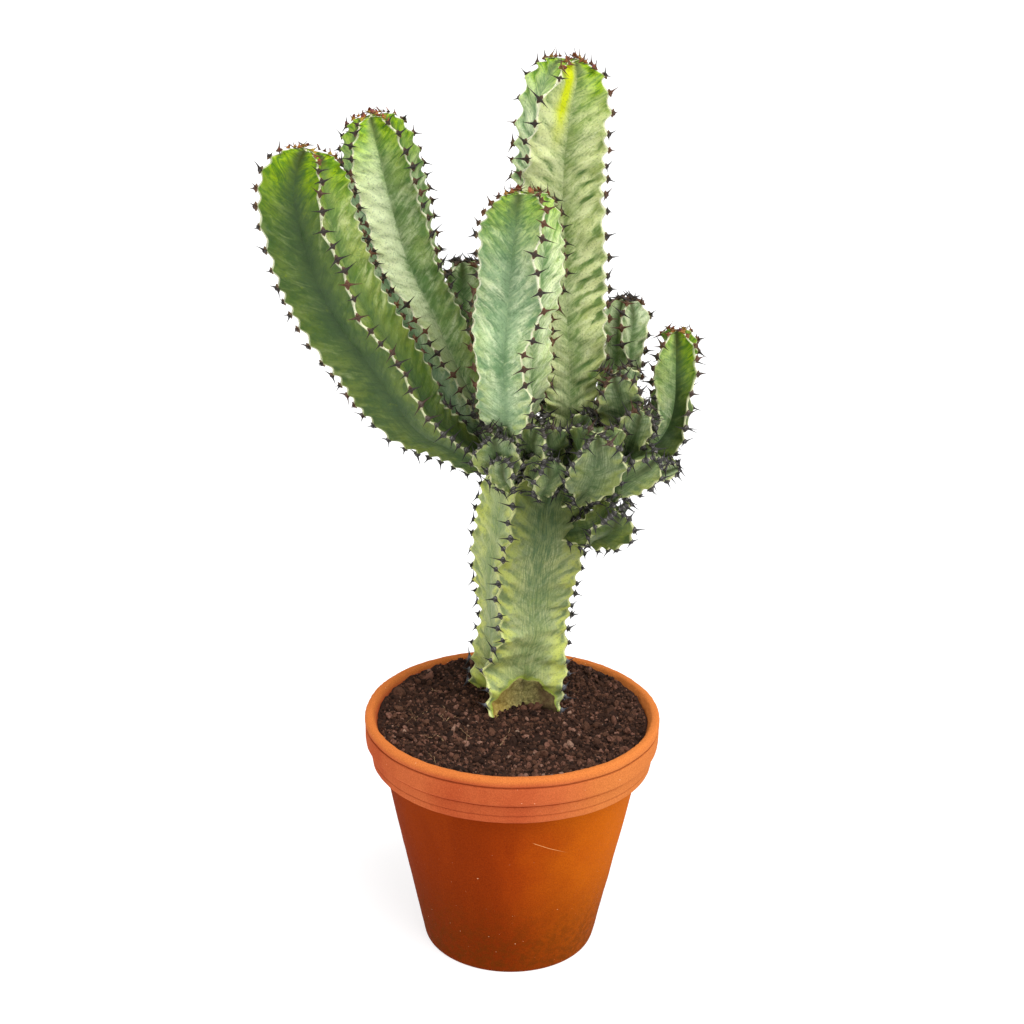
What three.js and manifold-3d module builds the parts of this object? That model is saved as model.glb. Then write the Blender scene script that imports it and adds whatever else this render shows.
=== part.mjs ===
// A potted candelabra spurge: a ribbed, spiny succulent with upright arms, standing in
// potting soil in a round clay pot.
//
// Lengths are millimetres and angles are degrees. +Z is up, the origin is the centre of the
// pot's underside, and the plant is seen from the front when looking along +Y.

import * as THREE from 'three';
import { mergeVertices } from 'three/addons/utils/BufferGeometryUtils.js';
import Module from 'manifold-3d';

const wasm = await Module();
wasm.setup();
const { Manifold } = wasm;

// ---------------------------------------------------------------- driving dimensions

// Clay pot with a rim band in two steps
const POT_HEIGHT = 229;
const POT_RIM_RADIUS = 135;
const POT_BASE_RADIUS = 80;
const POT_NECK_RADIUS = 118.5;      // outer wall just under the band
const UPPER_BAND_BOTTOM = 201;
const LOWER_BAND_BOTTOM = 182;
const LOWER_BAND_RADIUS = 129.5;
const POT_LIP_INNER_RADIUS = 125;
const POT_FLOOR_THICKNESS = 14;
const POT_SEGMENTS = 36;
const DRAIN_HOLE_RADIUS = 7;
const DRAIN_HOLE_CIRCLE = 36;
const DRAIN_HOLE_COUNT = 3;
const DRAIN_HOLE_SEGMENTS = 16;

// Inside of the pot from its floor to its lip, as pairs of height and radius
const POT_INNER_WALL = [
  [POT_FLOOR_THICKNESS, 68],
  [LOWER_BAND_BOTTOM, 109],
  [UPPER_BAND_BOTTOM + 4, 121],
  [POT_HEIGHT - 9, POT_LIP_INNER_RADIUS - 1],
];

// Soil
const SOIL_LEVEL = 217;
const SOIL_MOUND = 10;              // how much higher the soil stands at the back
const SOIL_LUMP = 1.4;
const SOIL_RINGS = 7;
const SOIL_CLEARANCE = 0.8;         // to the wall's corners; its facets cut in by about 0.3 mm
const SOIL_FLOOR_GAP = 0.35;

// Stems
const SEAT_GAP = 0.45;              // space kept between two stems that press on each other
const GROOVE_DEPTH = [[0, 0.62]];   // groove radius over the radius of the chord between ribs
const DOME_REACH = 1;               // length of the rounded tip over the stem's radius
const DOME_POWER = 2.7;
const APEX_RADIUS = 0.16;           // radius left at the growing point, over the stem's radius
const SWAY_LENGTH = 84;             // length of the slow wave of a rib's edge
const SWAY = 6;
const SWAY_STEP = 1.9;              // how far each rib's wave runs ahead of the last rib's
const SWAY_LEAST_GIRTH = 20;
const BITE_LIMIT = 0.3;             // deepest notch between two teeth, over the radius there

// Spines stand in pairs, one pair on each tooth of a rib
const SPINE_LENGTH = 9;
const SPINE_FOOT = 2.4;             // how far its foot spreads over the tooth
const SPINE_SPREAD = 62;            // angle of each spine from the straight-out direction
const SPINE_RISE = 0.15;
const SPINE_SPACE = 2.4;            // least distance between the spines of two stems
const SPINE_OVER_SOIL = 3;

// Every stem: the points of its axis from its seat to its tip, its girth as pairs of
// fraction along the axis and radius, the directions of its ribs in rows that are evenly
// spaced from the seat to the tip (0 to the right, 270 to the front), the pitch of its teeth
// and the depth between them. A stem may have how far each rib reaches over the girth, in
// such rows too (reach), its own groove depth as pairs (groove), its own slow wave (sway), a
// rounded tip of its own length (dome) and its own direction for 0 (side).
const STEMS = [
  {
    name: 'trunk', pitch: 18, bite: 5.5, sway: 2, groove: [[0, 0.6], [0.2, 0.6], [0.42, 0.84]],
    axis: [[9, 43, 165], [8, 43, 215], [7, 43, 269], [8, 42, 320], [11, 40, 370], [16, 36, 420],
      [25, 33, 462], [33, 31, 492]],
    girth: [[0, 26], [0.12, 50], [0.3, 50], [0.62, 52], [0.8, 50], [1, 46]],
    ribs: [[163, 236, 316, 70], [163, 238, 316, 70], [163, 234, 320, 70], [164, 226, 332, 70],
      [165, 250, 336, 71], [166, 240, 342, 72], [167, 241, 347, 74], [168, 246, 349, 76],
      [168, 242, 349, 78], [168, 250, 349, 80], [168, 258, 349, 80]],
    reach: [[1, 1, 1, 1], [1, 1.05, 1.03, 1], [1.06, 1.08, 1, 1.04], [0.97, 1, 1.02, 1],
      [0.82, 1, 0.91, 0.95], [0.92, 1, 0.93, 1], [1, 1, 1, 1.03], [1.03, 1, 1.03, 1],
      [1, 1, 1, 0.96], [1, 1, 1, 1], [1, 1, 1, 1]],
  },
  {
    name: 'arm_centre', pitch: 18, bite: 6, sway: 1.5, groove: [[0, 0.7]],
    axis: [[36, 31, 478], [44, 31, 505], [43, 31, 548], [39, 30, 605], [37, 28, 658], [33, 26, 709],
      [33, 22, 765], [38, 20, 810]],
    girth: [[0, 16], [0.12, 28], [0.3, 39], [0.6, 40], [0.85, 43], [1, 42]],
    ribs: [[175, 216, 345, 80], [171, 214, 343, 77], [167, 210, 341, 74], [163, 206, 340, 71],
      [159, 229, 338, 68], [155, 259, 335, 65]],
    reach: [[1, 1, 1, 1], [1, 1, 1, 1], [1.05, 1.05, 1, 1], [1.2, 1.12, 0.98, 1],
      [0.97, 1.04, 1, 1], [0.86, 1, 1, 1]],
  },
  {
    name: 'arm_left', pitch: 18, bite: 4.5, sway: 2.5, groove: [[0, 0.66]], dome: 1.3,
    axis: [[-16, 25, 456], [-34, 15, 465], [-60, 5, 484], [-86, -8, 506], [-103, -16, 535],
      [-125, -22, 572], [-144, -26, 602], [-159, -28, 634], [-168, -28, 660], [-174, -27, 687],
      [-176, -25, 715], [-172, -24, 740]],
    girth: [[0, 15], [0.1, 18], [0.22, 27], [0.4, 37], [0.62, 41], [0.85, 42], [1, 40]],
    ribs: [[201, 318, 26, 111], [201, 316, 26, 111], [201, 306, 24, 111], [201, 299, 21, 111],
      [201, 296, 21, 111], [201, 291, 21, 111]],
  },
  {
    name: 'arm_left_back', pitch: 18, bite: 4.5, sway: 1.5, groove: [[0, 0.7]], dome: 1.6,
    axis: [[-12, 36, 462], [-40, 46, 492], [-64, 52, 531], [-83, 56, 575], [-98, 58, 619],
      [-109, 58, 663], [-119, 56, 710], [-129, 54, 758]],
    girth: [[0, 15], [0.14, 26], [0.32, 35], [0.6, 38], [0.85, 38], [1, 36]],
    ribs: [[205, 285, 370, 65, 130], [203, 285, 368, 60, 126], [196, 276, 355, 50, 116],
      [178, 244, 325, 33, 106], [170, 232, 323, 27, 99], [164, 238, 308, 20, 92]],
  },
  {
    name: 'arm_front', pitch: 18, bite: 4.5, groove: [[0, 0.72]], dome: 1.3,
    axis: [[4, 14, 464], [-3, -4, 496], [-5, -18, 545], [-5, -26, 583], [-2, -29, 618],
      [0, -29, 652], [2, -28, 681], [1, -27, 709]],
    girth: [[0, 14], [0.12, 22], [0.3, 34], [0.55, 38], [0.8, 41], [1, 38]],
    ribs: [[200, 290, 20, 110], [204, 296, 24, 116]],
  },
  {
    name: 'arm_right', pitch: 16, bite: 3.5,
    axis: [[52, 36, 444], [80, 40, 452], [108, 40, 464], [130, 38, 487], [138, 34, 516],
      [138, 32, 549], [137, 32, 581]],
    girth: [[0, 16], [0.3, 20], [0.5, 23], [0.75, 24], [1, 20]],
    ribs: [[230, 320, 50, 140], [215, 305, 35, 125]],
  },
  {
    name: 'arm_back', pitch: 16, bite: 3,
    axis: [[-8, 56, 464], [-30, 68, 488], [-46, 78, 524], [-50, 81, 565], [-50, 81, 601],
      [-51, 80, 628]],
    girth: [[0, 12], [0.3, 20], [0.7, 22], [1, 20]],
    ribs: [[225, 315, 45, 135], [225, 315, 45, 135]],
  },
  {
    name: 'arm_right_back', pitch: 16, bite: 4,
    axis: [[60, 42, 468], [80, 56, 500], [90, 62, 535], [93, 64, 568], [94, 64, 600]],
    girth: [[0, 12], [0.25, 15], [0.6, 22], [0.85, 23], [1, 19]],
    ribs: [[200, 272, 344, 56, 128], [200, 272, 344, 56, 128]],
  },
  {
    name: 'offset_large', pitch: 16, bite: 3, dome: 0.75,
    axis: [[46, 20, 424], [57, 4, 440], [63, -14, 460], [67, -29, 483], [68, -38, 509]],
    girth: [[0, 10], [0.25, 15], [0.6, 30], [0.85, 33], [1, 32]],
    ribs: [[225, 315, 45, 135], [225, 315, 45, 135]],
  },
  {
    name: 'offset_upper_right', pitch: 16, bite: 3,
    axis: [[94, 32, 462], [98, 14, 478], [102, -2, 500], [106, -14, 522]],
    girth: [[0, 12], [0.4, 18], [0.75, 20], [1, 18]],
    ribs: [[215, 305, 35, 125], [215, 305, 35, 125]],
  },
  {
    name: 'offset_outer_right', pitch: 16, bite: 3,
    axis: [[58, 26, 424], [74, 12, 436], [98, -4, 460], [121, -20, 482]],
    girth: [[0, 12], [0.35, 19], [0.7, 22], [1, 20]],
    ribs: [[205, 295, 25, 115], [205, 295, 25, 115]],
  },
  {
    name: 'offset_top_right', pitch: 16, bite: 3.5, dome: 0.9,
    axis: [[98, 36, 466], [96, 28, 490], [92, 16, 512], [87, 4, 532], [81, -6, 552]],
    girth: [[0, 13], [0.3, 21], [0.65, 26], [1, 22]],
    ribs: [[225, 315, 45, 135], [225, 315, 45, 135]],
  },
  {
    name: 'offset_low_right', pitch: 16, bite: 3,
    axis: [[46, 32, 390], [66, 20, 397], [82, 0, 410], [88, -22, 432]],
    girth: [[0, 12], [0.35, 20], [0.7, 24], [1, 21]],
    ribs: [[225, 315, 45, 135], [225, 315, 45, 135]],
  },
  {
    name: 'offset_side_right', pitch: 15, bite: 2.5, side: [0.4, 0, -1],
    axis: [[98, 40, 452], [112, 33, 450], [128, 29, 452], [144, 27, 457]],
    girth: [[0, 8], [0.4, 13], [0.75, 14], [1, 10]],
    ribs: [[225, 315, 45, 135], [225, 315, 45, 135]],
  },
  {
    name: 'offset_upper_left', pitch: 15, bite: 3, dome: 0.85,
    axis: [[4, 26, 444], [-6, 8, 460], [-14, -12, 480], [-20, -26, 501]],
    girth: [[0, 10], [0.4, 19], [0.75, 28], [1, 26]],
    ribs: [[225, 315, 45, 135], [225, 315, 45, 135]],
  },
  {
    name: 'offset_upper_middle', pitch: 15, bite: 3, dome: 0.9,
    axis: [[24, 26, 448], [23, 8, 466], [21, -10, 486], [20, -24, 508]],
    girth: [[0, 12], [0.4, 21], [0.75, 25], [1, 22]],
    ribs: [[180, 270, 0, 90], [180, 270, 0, 90]],
  },
  {
    name: 'offset_lower_middle', pitch: 15, bite: 3,
    axis: [[22, 14, 434], [23, -2, 447], [24, -16, 461], [24, -27, 480]],
    girth: [[0, 8], [0.3, 13], [0.75, 21], [1, 18]],
    ribs: [[165, 255, 345, 75], [165, 255, 345, 75]],
  },
  {
    name: 'offset_middle_right', pitch: 15, bite: 3,
    axis: [[40, 30, 448], [48, 20, 470], [55, 10, 490], [62, 2, 512]],
    girth: [[0, 10], [0.4, 15], [0.75, 16], [1, 14]],
    ribs: [[200, 290, 20, 110], [200, 290, 20, 110]],
  },
  {
    name: 'offset_lower_left', pitch: 15, bite: 3,
    axis: [[0, 14, 438], [-5, -4, 451], [-9, -21, 465], [-12, -32, 482]],
    girth: [[0, 7], [0.3, 11], [0.75, 17], [1, 15]],
    ribs: [[215, 305, 35, 125], [215, 305, 35, 125]],
  },
];

// ---------------------------------------------------------------- materials

const CLAY = { color: 0xc4673b, roughness: 0.85, metalness: 0 };
const SOIL = { color: 0x3a2419, roughness: 0.95, metalness: 0 };
const STEM = { color: 0x86a876, roughness: 0.6, metalness: 0 };

// ---------------------------------------------------------------- solids and meshes

const radians = THREE.MathUtils.degToRad;

function solidOf(vertices, triangles) {
  const mesh = new wasm.Mesh({
    numProp: 3,
    vertProperties: new Float32Array(vertices),
    triVerts: new Uint32Array(triangles),
  });
  return new Manifold(mesh);
}

// A three.js geometry as a solid: shared vertices merged, collapsed faces at the axis dropped
function solidOfGeometry(geometry) {
  geometry.deleteAttribute('normal');
  geometry.deleteAttribute('uv');
  const merged = mergeVertices(geometry, 1e-3);
  const faces = [];
  for (let i = 0; i < merged.index.count; i += 3) {
    const [a, b, c] = [0, 1, 2].map((n) => merged.index.getX(i + n));
    if (a !== b && b !== c && c !== a) faces.push(a, b, c);
  }
  return solidOf(merged.attributes.position.array, faces);
}

function namedMesh(name, solid, finish) {
  const { numProp, vertProperties, triVerts } = solid.getMesh();
  const positions = [];
  for (let i = 0; i < vertProperties.length; i += numProp) {
    positions.push(vertProperties[i], vertProperties[i + 1], vertProperties[i + 2]);
  }
  const geometry = new THREE.BufferGeometry();
  geometry.setAttribute('position', new THREE.Float32BufferAttribute(positions, 3));
  geometry.setIndex(Array.from(triVerts));
  geometry.computeVertexNormals();
  const mesh = new THREE.Mesh(geometry, new THREE.MeshStandardMaterial(finish));
  mesh.name = name;
  return mesh;
}

// The one connected body of a solid that holds nearly all of it
function largestPiece(solid) {
  const pieces = solid.decompose();
  return pieces.reduce((best, piece) => (piece.volume() > best.volume() ? piece : best));
}

// A closed skin over rings of points, with a centre point at each end. Even columns are edges
// and odd ones are grooves: the two faces of a rib are split alike. Where spines names a row,
// an edge column and a side, a three-sided spine is raised from the corner of the face there.
function loft(rings, startPoint, endPoint, spines = new Map()) {
  const count = rings[0].length;
  const points = [startPoint, ...rings.flat(), endPoint];
  const last = points.length - 1;
  const at = (row, column) => 1 + row * count + (column % count);
  const faces = [];

  const toothFace = (name, tooth, x, y) => {
    const point = spines.get(name);
    if (!point) {
      faces.push(tooth, x, y);
      return;
    }
    const way = (to) => points[to].clone().sub(points[tooth]).normalize();
    const towards = (main, other) => points[tooth].clone()
      .addScaledVector(way(main), 0.85 * SPINE_FOOT)
      .addScaledVector(way(other), 0.2 * SPINE_FOOT);
    const p = points.push(towards(x, y)) - 1;
    const q = points.push(towards(y, x)) - 1;
    const top = points.push(point) - 1;
    faces.push(tooth, x, p, p, x, y, p, y, q, q, y, tooth);
    faces.push(tooth, p, top, p, q, top, q, tooth, top);
  };

  for (let i = 0; i < count; i++) {
    faces.push(0, at(0, i + 1), at(0, i));
    faces.push(last, at(rings.length - 1, i), at(rings.length - 1, i + 1));
    for (let row = 0; row + 1 < rings.length; row++) {
      const [a, b] = [at(row, i), at(row, i + 1)];
      const [d, c] = [at(row + 1, i), at(row + 1, i + 1)];
      if (i % 2 === 0) {
        faces.push(a, b, c);
        toothFace(spineName(row, i, 1), a, c, d);
      } else {
        faces.push(a, b, d);
        toothFace(spineName(row, (i + 1) % count, -1), b, c, d);
      }
    }
  }
  return solidOf(points.flatMap((p) => [p.x, p.y, p.z]), faces);
}

function spineName(row, column, side) {
  return `${row} ${column} ${side}`;
}

// ---------------------------------------------------------------- pot and soil

// Radius of the pot's inner wall at a height
function innerWall(z) {
  for (let i = 1; i < POT_INNER_WALL.length; i++) {
    const [z0, r0] = POT_INNER_WALL[i - 1];
    const [z1, r1] = POT_INNER_WALL[i];
    if (z <= z1) return THREE.MathUtils.mapLinear(z, z0, z1, r0, r1);
  }
  return POT_INNER_WALL.at(-1)[1];
}

function makePot() {
  const rim = POT_RIM_RADIUS;
  const profile = [
    [0, 0], [POT_BASE_RADIUS - 3, 0], [POT_BASE_RADIUS, 3],
    [POT_NECK_RADIUS, LOWER_BAND_BOTTOM], [LOWER_BAND_RADIUS - 1.5, LOWER_BAND_BOTTOM + 1],
    [LOWER_BAND_RADIUS, LOWER_BAND_BOTTOM + 4], [LOWER_BAND_RADIUS + 1, UPPER_BAND_BOTTOM - 1],
    [rim - 1.5, UPPER_BAND_BOTTOM], [rim, UPPER_BAND_BOTTOM + 3], [rim, POT_HEIGHT - 5],
    [rim - 2, POT_HEIGHT - 1], [rim - 6, POT_HEIGHT], [POT_LIP_INNER_RADIUS + 2, POT_HEIGHT - 2],
    ...[...POT_INNER_WALL].reverse().map(([z, r]) => [r, z]), [0, POT_FLOOR_THICKNESS],
  ].map(([r, z]) => new THREE.Vector2(r, z));
  const shell = new THREE.LatheGeometry(profile, POT_SEGMENTS).rotateX(Math.PI / 2);
  let pot = solidOfGeometry(shell);
  for (let i = 0; i < DRAIN_HOLE_COUNT; i++) {
    const turn = radians(90 + (360 / DRAIN_HOLE_COUNT) * i);
    const radius = DRAIN_HOLE_RADIUS;
    const length = 4 * POT_FLOOR_THICKNESS;
    const hole = new THREE.CylinderGeometry(radius, radius, length, DRAIN_HOLE_SEGMENTS)
      .rotateX(Math.PI / 2)
      .translate(DRAIN_HOLE_CIRCLE * Math.cos(turn), DRAIN_HOLE_CIRCLE * Math.sin(turn), 0);
    pot = pot.subtract(solidOfGeometry(hole));
  }
  return pot;
}

// Height of the soil's surface: lumps on a level that rises a little towards the back
function soilHeight(x, y) {
  const mound = SOIL_MOUND * THREE.MathUtils.smoothstep(y, -70, 110);
  const lumps = Math.sin(x * 0.17 + 0.6) * Math.cos(y * 0.15 - 0.4)
    + 0.7 * Math.sin(x * 0.31 - y * 0.23) * Math.sin(x * 0.08 + y * 0.29);
  return SOIL_LEVEL + mound + SOIL_LUMP * lumps;
}

function makeSoil() {
  const ring = (radius, height) => Array.from({ length: POT_SEGMENTS }, (_, i) => {
    const turn = (2 * Math.PI * i) / POT_SEGMENTS;
    const [x, y] = [radius * Math.cos(turn), radius * Math.sin(turn)];
    return new THREE.Vector3(x, y, height ?? soilHeight(x, y));
  });
  const clear = (z) => innerWall(z) - SOIL_CLEARANCE;
  const bottom = POT_FLOOR_THICKNESS + SOIL_FLOOR_GAP;
  const walls = [bottom, POT_INNER_WALL[1][0], POT_INNER_WALL[2][0]].map((z) => ring(clear(z), z));
  const edge = clear(SOIL_LEVEL);
  const tops = Array.from({ length: SOIL_RINGS }, (_, i) => ring(edge * (1 - i / SOIL_RINGS)));
  return loft(
    [...walls, ...tops],
    new THREE.Vector3(0, 0, bottom),
    new THREE.Vector3(0, 0, soilHeight(0, 0)),
  );
}

// ---------------------------------------------------------------- stems

// Value at t of a list of [t, value] pairs, eased from one to the next
function eased(pairs, t) {
  for (let i = 1; i < pairs.length; i++) {
    const [t0, v0] = pairs[i - 1];
    const [t1, v1] = pairs[i];
    if (t <= t1) return THREE.MathUtils.lerp(v0, v1, THREE.MathUtils.smoothstep(t, t0, t1));
  }
  return pairs.at(-1)[1];
}

// A stem's axis with a frame at each distance s from its seat
function axisOf(stem) {
  const points = stem.axis.map((p) => new THREE.Vector3(...p));
  const curve = new THREE.CatmullRomCurve3(points, false, 'catmullrom', 0.5);
  const length = curve.getLength();
  const side = new THREE.Vector3(...(stem.side ?? [1, 0, 0]));
  const frame = (s) => {
    const t = THREE.MathUtils.clamp(s / length, 0, 1);
    const along = curve.getTangentAt(t);
    const right = side.clone().addScaledVector(along, -side.dot(along)).normalize();
    const back = new THREE.Vector3().crossVectors(along, right);
    const origin = curve.getPointAt(t).addScaledVector(along, s - t * length);
    return { origin, along, right, back };
  };
  return { length, frame };
}

// Radius of the stem's ribs at s, rounded off over its tip
function girthAt(stem, length, s) {
  const girth = eased(stem.girth, s / length);
  const dome = (stem.dome ?? DOME_REACH) * stem.girth.at(-1)[1];
  const u = THREE.MathUtils.clamp((s - length + dome) / dome, 0, 1);
  return girth * Math.max(APEX_RADIUS, (1 - u ** DOME_POWER) ** (1 / DOME_POWER));
}

// Column k's value at t in rows that are evenly spaced over 0 to 1
function rowsAt(rows, k, t) {
  const place = THREE.MathUtils.clamp(t, 0, 1) * (rows.length - 1);
  const row = Math.min(Math.floor(place), rows.length - 2);
  return THREE.MathUtils.lerp(rows[row][k], rows[row + 1][k], place - row);
}

// Rib k's direction in radians, before the sway of its edge
function ribTurn(stem, length, k, s) {
  return radians(rowsAt(stem.ribs, k, s / length));
}

function swayAt(stem, girth, k, s) {
  const wave = Math.sin((2 * Math.PI * s) / SWAY_LENGTH + SWAY_STEP * k);
  return ((stem.sway ?? SWAY) / Math.max(girth, SWAY_LEAST_GIRTH)) * wave;
}

// Rib k's radius at s without its teeth
function ribRadius(stem, length, k, s) {
  const reach = stem.reach ? rowsAt(stem.reach, k, s / length) : 1;
  return girthAt(stem, length, s) * reach;
}

// How many half pitches a stem has along its axis
function halfPitches(stem, length) {
  return 2 * Math.round(length / stem.pitch);
}

// The points of one section in the plane of its frame: the edge of each rib and the groove
// after it. Ribs with an odd number carry their teeth half a pitch further on than the others.
function sectionPoints(stem, length, row, grow) {
  const s = (length * row) / halfPitches(stem, length);
  const girth = girthAt(stem, length, s);
  const groove = eased(stem.groove ?? GROOVE_DEPTH, s / length);
  const count = stem.ribs[0].length;
  const points = [];
  const put = (radius, turn) => points.push(
    new THREE.Vector2(radius * Math.cos(turn), radius * Math.sin(turn)));
  for (let k = 0; k < count; k++) {
    const turn = ribTurn(stem, length, k, s);
    const gap = ribTurn(stem, length, (k + 1) % count, s) - turn;
    const halfGap = THREE.MathUtils.euclideanModulo(gap, 2 * Math.PI) / 2;
    const notch = (row + k) % 2 === 0 ? 0 : Math.min(stem.bite, BITE_LIMIT * girth);
    put(ribRadius(stem, length, k, s) - notch, turn + swayAt(stem, girth, k, s));
    put(groove * girth * Math.cos(halfGap), turn + halfGap);
  }
  return { s, points: grow ? grown(points, grow) : points };
}

// A polygon with every side moved outwards
function grown(points, distance) {
  const count = points.length;
  const normal = (a, b) => new THREE.Vector2(b.y - a.y, a.x - b.x).normalize();
  return points.map((p, i) => {
    const before = normal(points[(i + count - 1) % count], p);
    const after = normal(p, points[(i + 1) % count]);
    const scale = distance / Math.max(0.2, 1 + before.dot(after));
    return p.clone().addScaledVector(before.add(after), scale);
  });
}

// A stem's body with the spines it is given, and with grow > 0 the space that its neighbours
// keep off
function stemBody(stem, grow = 0, spines = new Map()) {
  const { length, frame } = axisOf(stem);
  const rows = halfPitches(stem, length);
  const rings = [];
  const centres = [];
  for (let row = 0; row <= rows; row++) {
    const { s, points } = sectionPoints(stem, length, row, grow);
    const ends = { 0: -grow, [rows]: grow };
    const { origin, right, back } = frame(s + (ends[row] ?? 0));
    centres.push(origin);
    rings.push(points.map((p) => origin.clone().addScaledVector(right, p.x)
      .addScaledVector(back, p.y)));
  }
  return loft(rings, centres[0], centres.at(-1), spines);
}

// The pairs of spines of a stem, one pair on every tooth, each with its name in the skin
function spinesOf(stem) {
  const { length, frame } = axisOf(stem);
  const rows = halfPitches(stem, length);
  const edgeAt = (k, s) => {
    const { origin, right, back } = frame(s);
    const radius = ribRadius(stem, length, k, s);
    const turn = ribTurn(stem, length, k, s) + swayAt(stem, girthAt(stem, length, s), k, s);
    const out = right.clone().multiplyScalar(Math.cos(turn))
      .addScaledVector(back, Math.sin(turn));
    return { point: origin.clone().addScaledVector(out, radius), out };
  };
  const spines = [];
  for (let k = 0; k < stem.ribs[0].length; k++) {
    for (let row = 2 - (k % 2); row < rows; row += 2) {
      const s = (length * row) / rows;
      const { point: root, out } = edgeAt(k, s);
      const run = edgeAt(k, Math.min(s + 2, length)).point
        .sub(edgeAt(k, Math.max(s - 2, 0)).point).normalize();
      const normal = out.clone().addScaledVector(run, -out.dot(run)).normalize();
      const across = new THREE.Vector3().crossVectors(run, normal);
      for (const side of [-1, 1]) {
        const direction = normal.clone().multiplyScalar(Math.cos(radians(SPINE_SPREAD)))
          .addScaledVector(across, side * Math.sin(radians(SPINE_SPREAD)))
          .addScaledVector(run, SPINE_RISE)
          .normalize();
        const point = root.clone().addScaledVector(direction, SPINE_LENGTH);
        spines.push({ name: spineName(row, 2 * k, side), root, point });
      }
    }
  }
  return spines;
}

// The room that a spine takes up, as a slim solid round it
function spineRoom({ root, point }) {
  const along = point.clone().sub(root).normalize();
  const side = new THREE.Vector3(0, 0, 1).cross(along).normalize();
  const other = new THREE.Vector3().crossVectors(along, side);
  const start = root.clone().addScaledVector(along, -SPINE_FOOT);
  const ring = [0, 1, 2].map((i) => {
    const turn = (2 * Math.PI * i) / 3;
    return start.clone().addScaledVector(side, SPINE_FOOT * Math.cos(turn))
      .addScaledVector(other, SPINE_FOOT * Math.sin(turn));
  });
  const vertices = [...ring, point.clone().addScaledVector(along, 1)];
  return solidOf(vertices.flatMap((p) => [p.x, p.y, p.z]), [0, 2, 1, 0, 1, 3, 1, 2, 3, 2, 0, 3]);
}

// Whether two spines pass close to each other, told from points along both
function close(a, b) {
  const steps = [0.25, 0.5, 0.75, 1];
  if (a.point.distanceTo(b.point) > 2 * SPINE_LENGTH + SPINE_SPACE) return false;
  const on = (item, t) => item.root.clone().lerp(item.point, t);
  return steps.some((t) => steps.some((u) => on(a, t).distanceTo(on(b, u)) < SPINE_SPACE));
}

function boxesMeet(a, b) {
  return [0, 1, 2].every((i) => a.min[i] <= b.max[i] && b.min[i] <= a.max[i]);
}

// ---------------------------------------------------------------- the plant in its pot

const spaces = STEMS.map((stem) => stemBody(stem, SEAT_GAP));
const boxes = spaces.map((space) => space.boundingBox());

// Spines given out so far
const placed = [];

// The spines of a stem that have room: clear of the other stems, their spines and the soil
function freeSpines(index) {
  const free = spinesOf(STEMS[index]).filter((item) => {
    const room = spineRoom(item);
    const box = room.boundingBox();
    const blocked = spaces.some((space, i) => i !== index && boxesMeet(boxes[i], box)
      && !room.intersect(space).isEmpty());
    const lowest = Math.min(item.root.z, item.point.z);
    const buried = lowest < SOIL_LEVEL + SOIL_MOUND + SPINE_OVER_SOIL;
    return !blocked && !buried && !placed.some((other) => close(other, item));
  });
  placed.push(...free);
  return new Map(free.map(({ name, point }) => [name, point]));
}

// Each stem gives way to the ones before it in the list
function seatedStem(index) {
  let body = stemBody(STEMS[index], 0, freeSpines(index));
  for (let i = 0; i < index; i++) {
    if (boxesMeet(boxes[i], body.boundingBox())) body = body.subtract(spaces[i]);
  }
  return largestPiece(body);
}

const pot = makePot();
const soil = largestPiece(makeSoil().subtract(spaces[0]));

const plant = new THREE.Group();
STEMS.forEach((stem, index) => plant.add(namedMesh(stem.name, seatedStem(index), STEM)));

const model = new THREE.Group();
model.add(namedMesh('pot', pot, CLAY), namedMesh('soil', soil, SOIL), plant);

export default model;
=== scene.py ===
"""Looks of a potted candelabra spurge: a ribbed, spiny succulent in soil in a round clay pot.

Lengths are millimetres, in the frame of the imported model: +Z is up and the origin is the centre
of the pot's underside. They become metres when a mesh is made, and materials work in metres.
"""

import math

import bmesh
import bpy
import numpy as np
from mathutils import Matrix


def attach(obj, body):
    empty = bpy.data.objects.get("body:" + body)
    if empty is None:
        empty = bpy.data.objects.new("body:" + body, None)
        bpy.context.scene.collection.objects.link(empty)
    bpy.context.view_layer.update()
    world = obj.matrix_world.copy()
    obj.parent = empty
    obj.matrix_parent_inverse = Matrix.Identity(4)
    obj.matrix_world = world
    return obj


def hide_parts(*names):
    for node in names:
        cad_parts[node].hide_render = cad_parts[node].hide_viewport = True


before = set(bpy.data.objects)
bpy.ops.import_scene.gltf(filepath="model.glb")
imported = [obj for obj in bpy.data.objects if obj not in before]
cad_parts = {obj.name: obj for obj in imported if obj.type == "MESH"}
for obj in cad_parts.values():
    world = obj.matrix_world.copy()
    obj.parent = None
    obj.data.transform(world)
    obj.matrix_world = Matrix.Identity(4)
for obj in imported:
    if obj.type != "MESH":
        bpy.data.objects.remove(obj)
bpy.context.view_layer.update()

MM = 0.001
TAU = 2 * math.pi
SEED = 20

# ---- Driving dimensions

POT_HEIGHT = 229
POT_RIM_RADIUS = 135
POT_LIP_INNER_RADIUS = 125
POT_NECK_RADIUS = 118.5
POT_BASE_RADIUS = 80
POT_FLOOR_THICKNESS = 14
UPPER_BAND_BOTTOM = 201
LOWER_BAND_BOTTOM = 182
LOWER_BAND_RADIUS = 129.5
LIP_GROOVE = POT_HEIGHT - 9.2            # height of the groove under the rolled lip
BAND_LINE = LOWER_BAND_BOTTOM + 8        # height of the faint line round the lower band
DRAIN_HOLE_RADIUS = 7
DRAIN_HOLE_CIRCLE = 36
DRAIN_HOLE_COUNT = 3
POT_SIDES = 256

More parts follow.
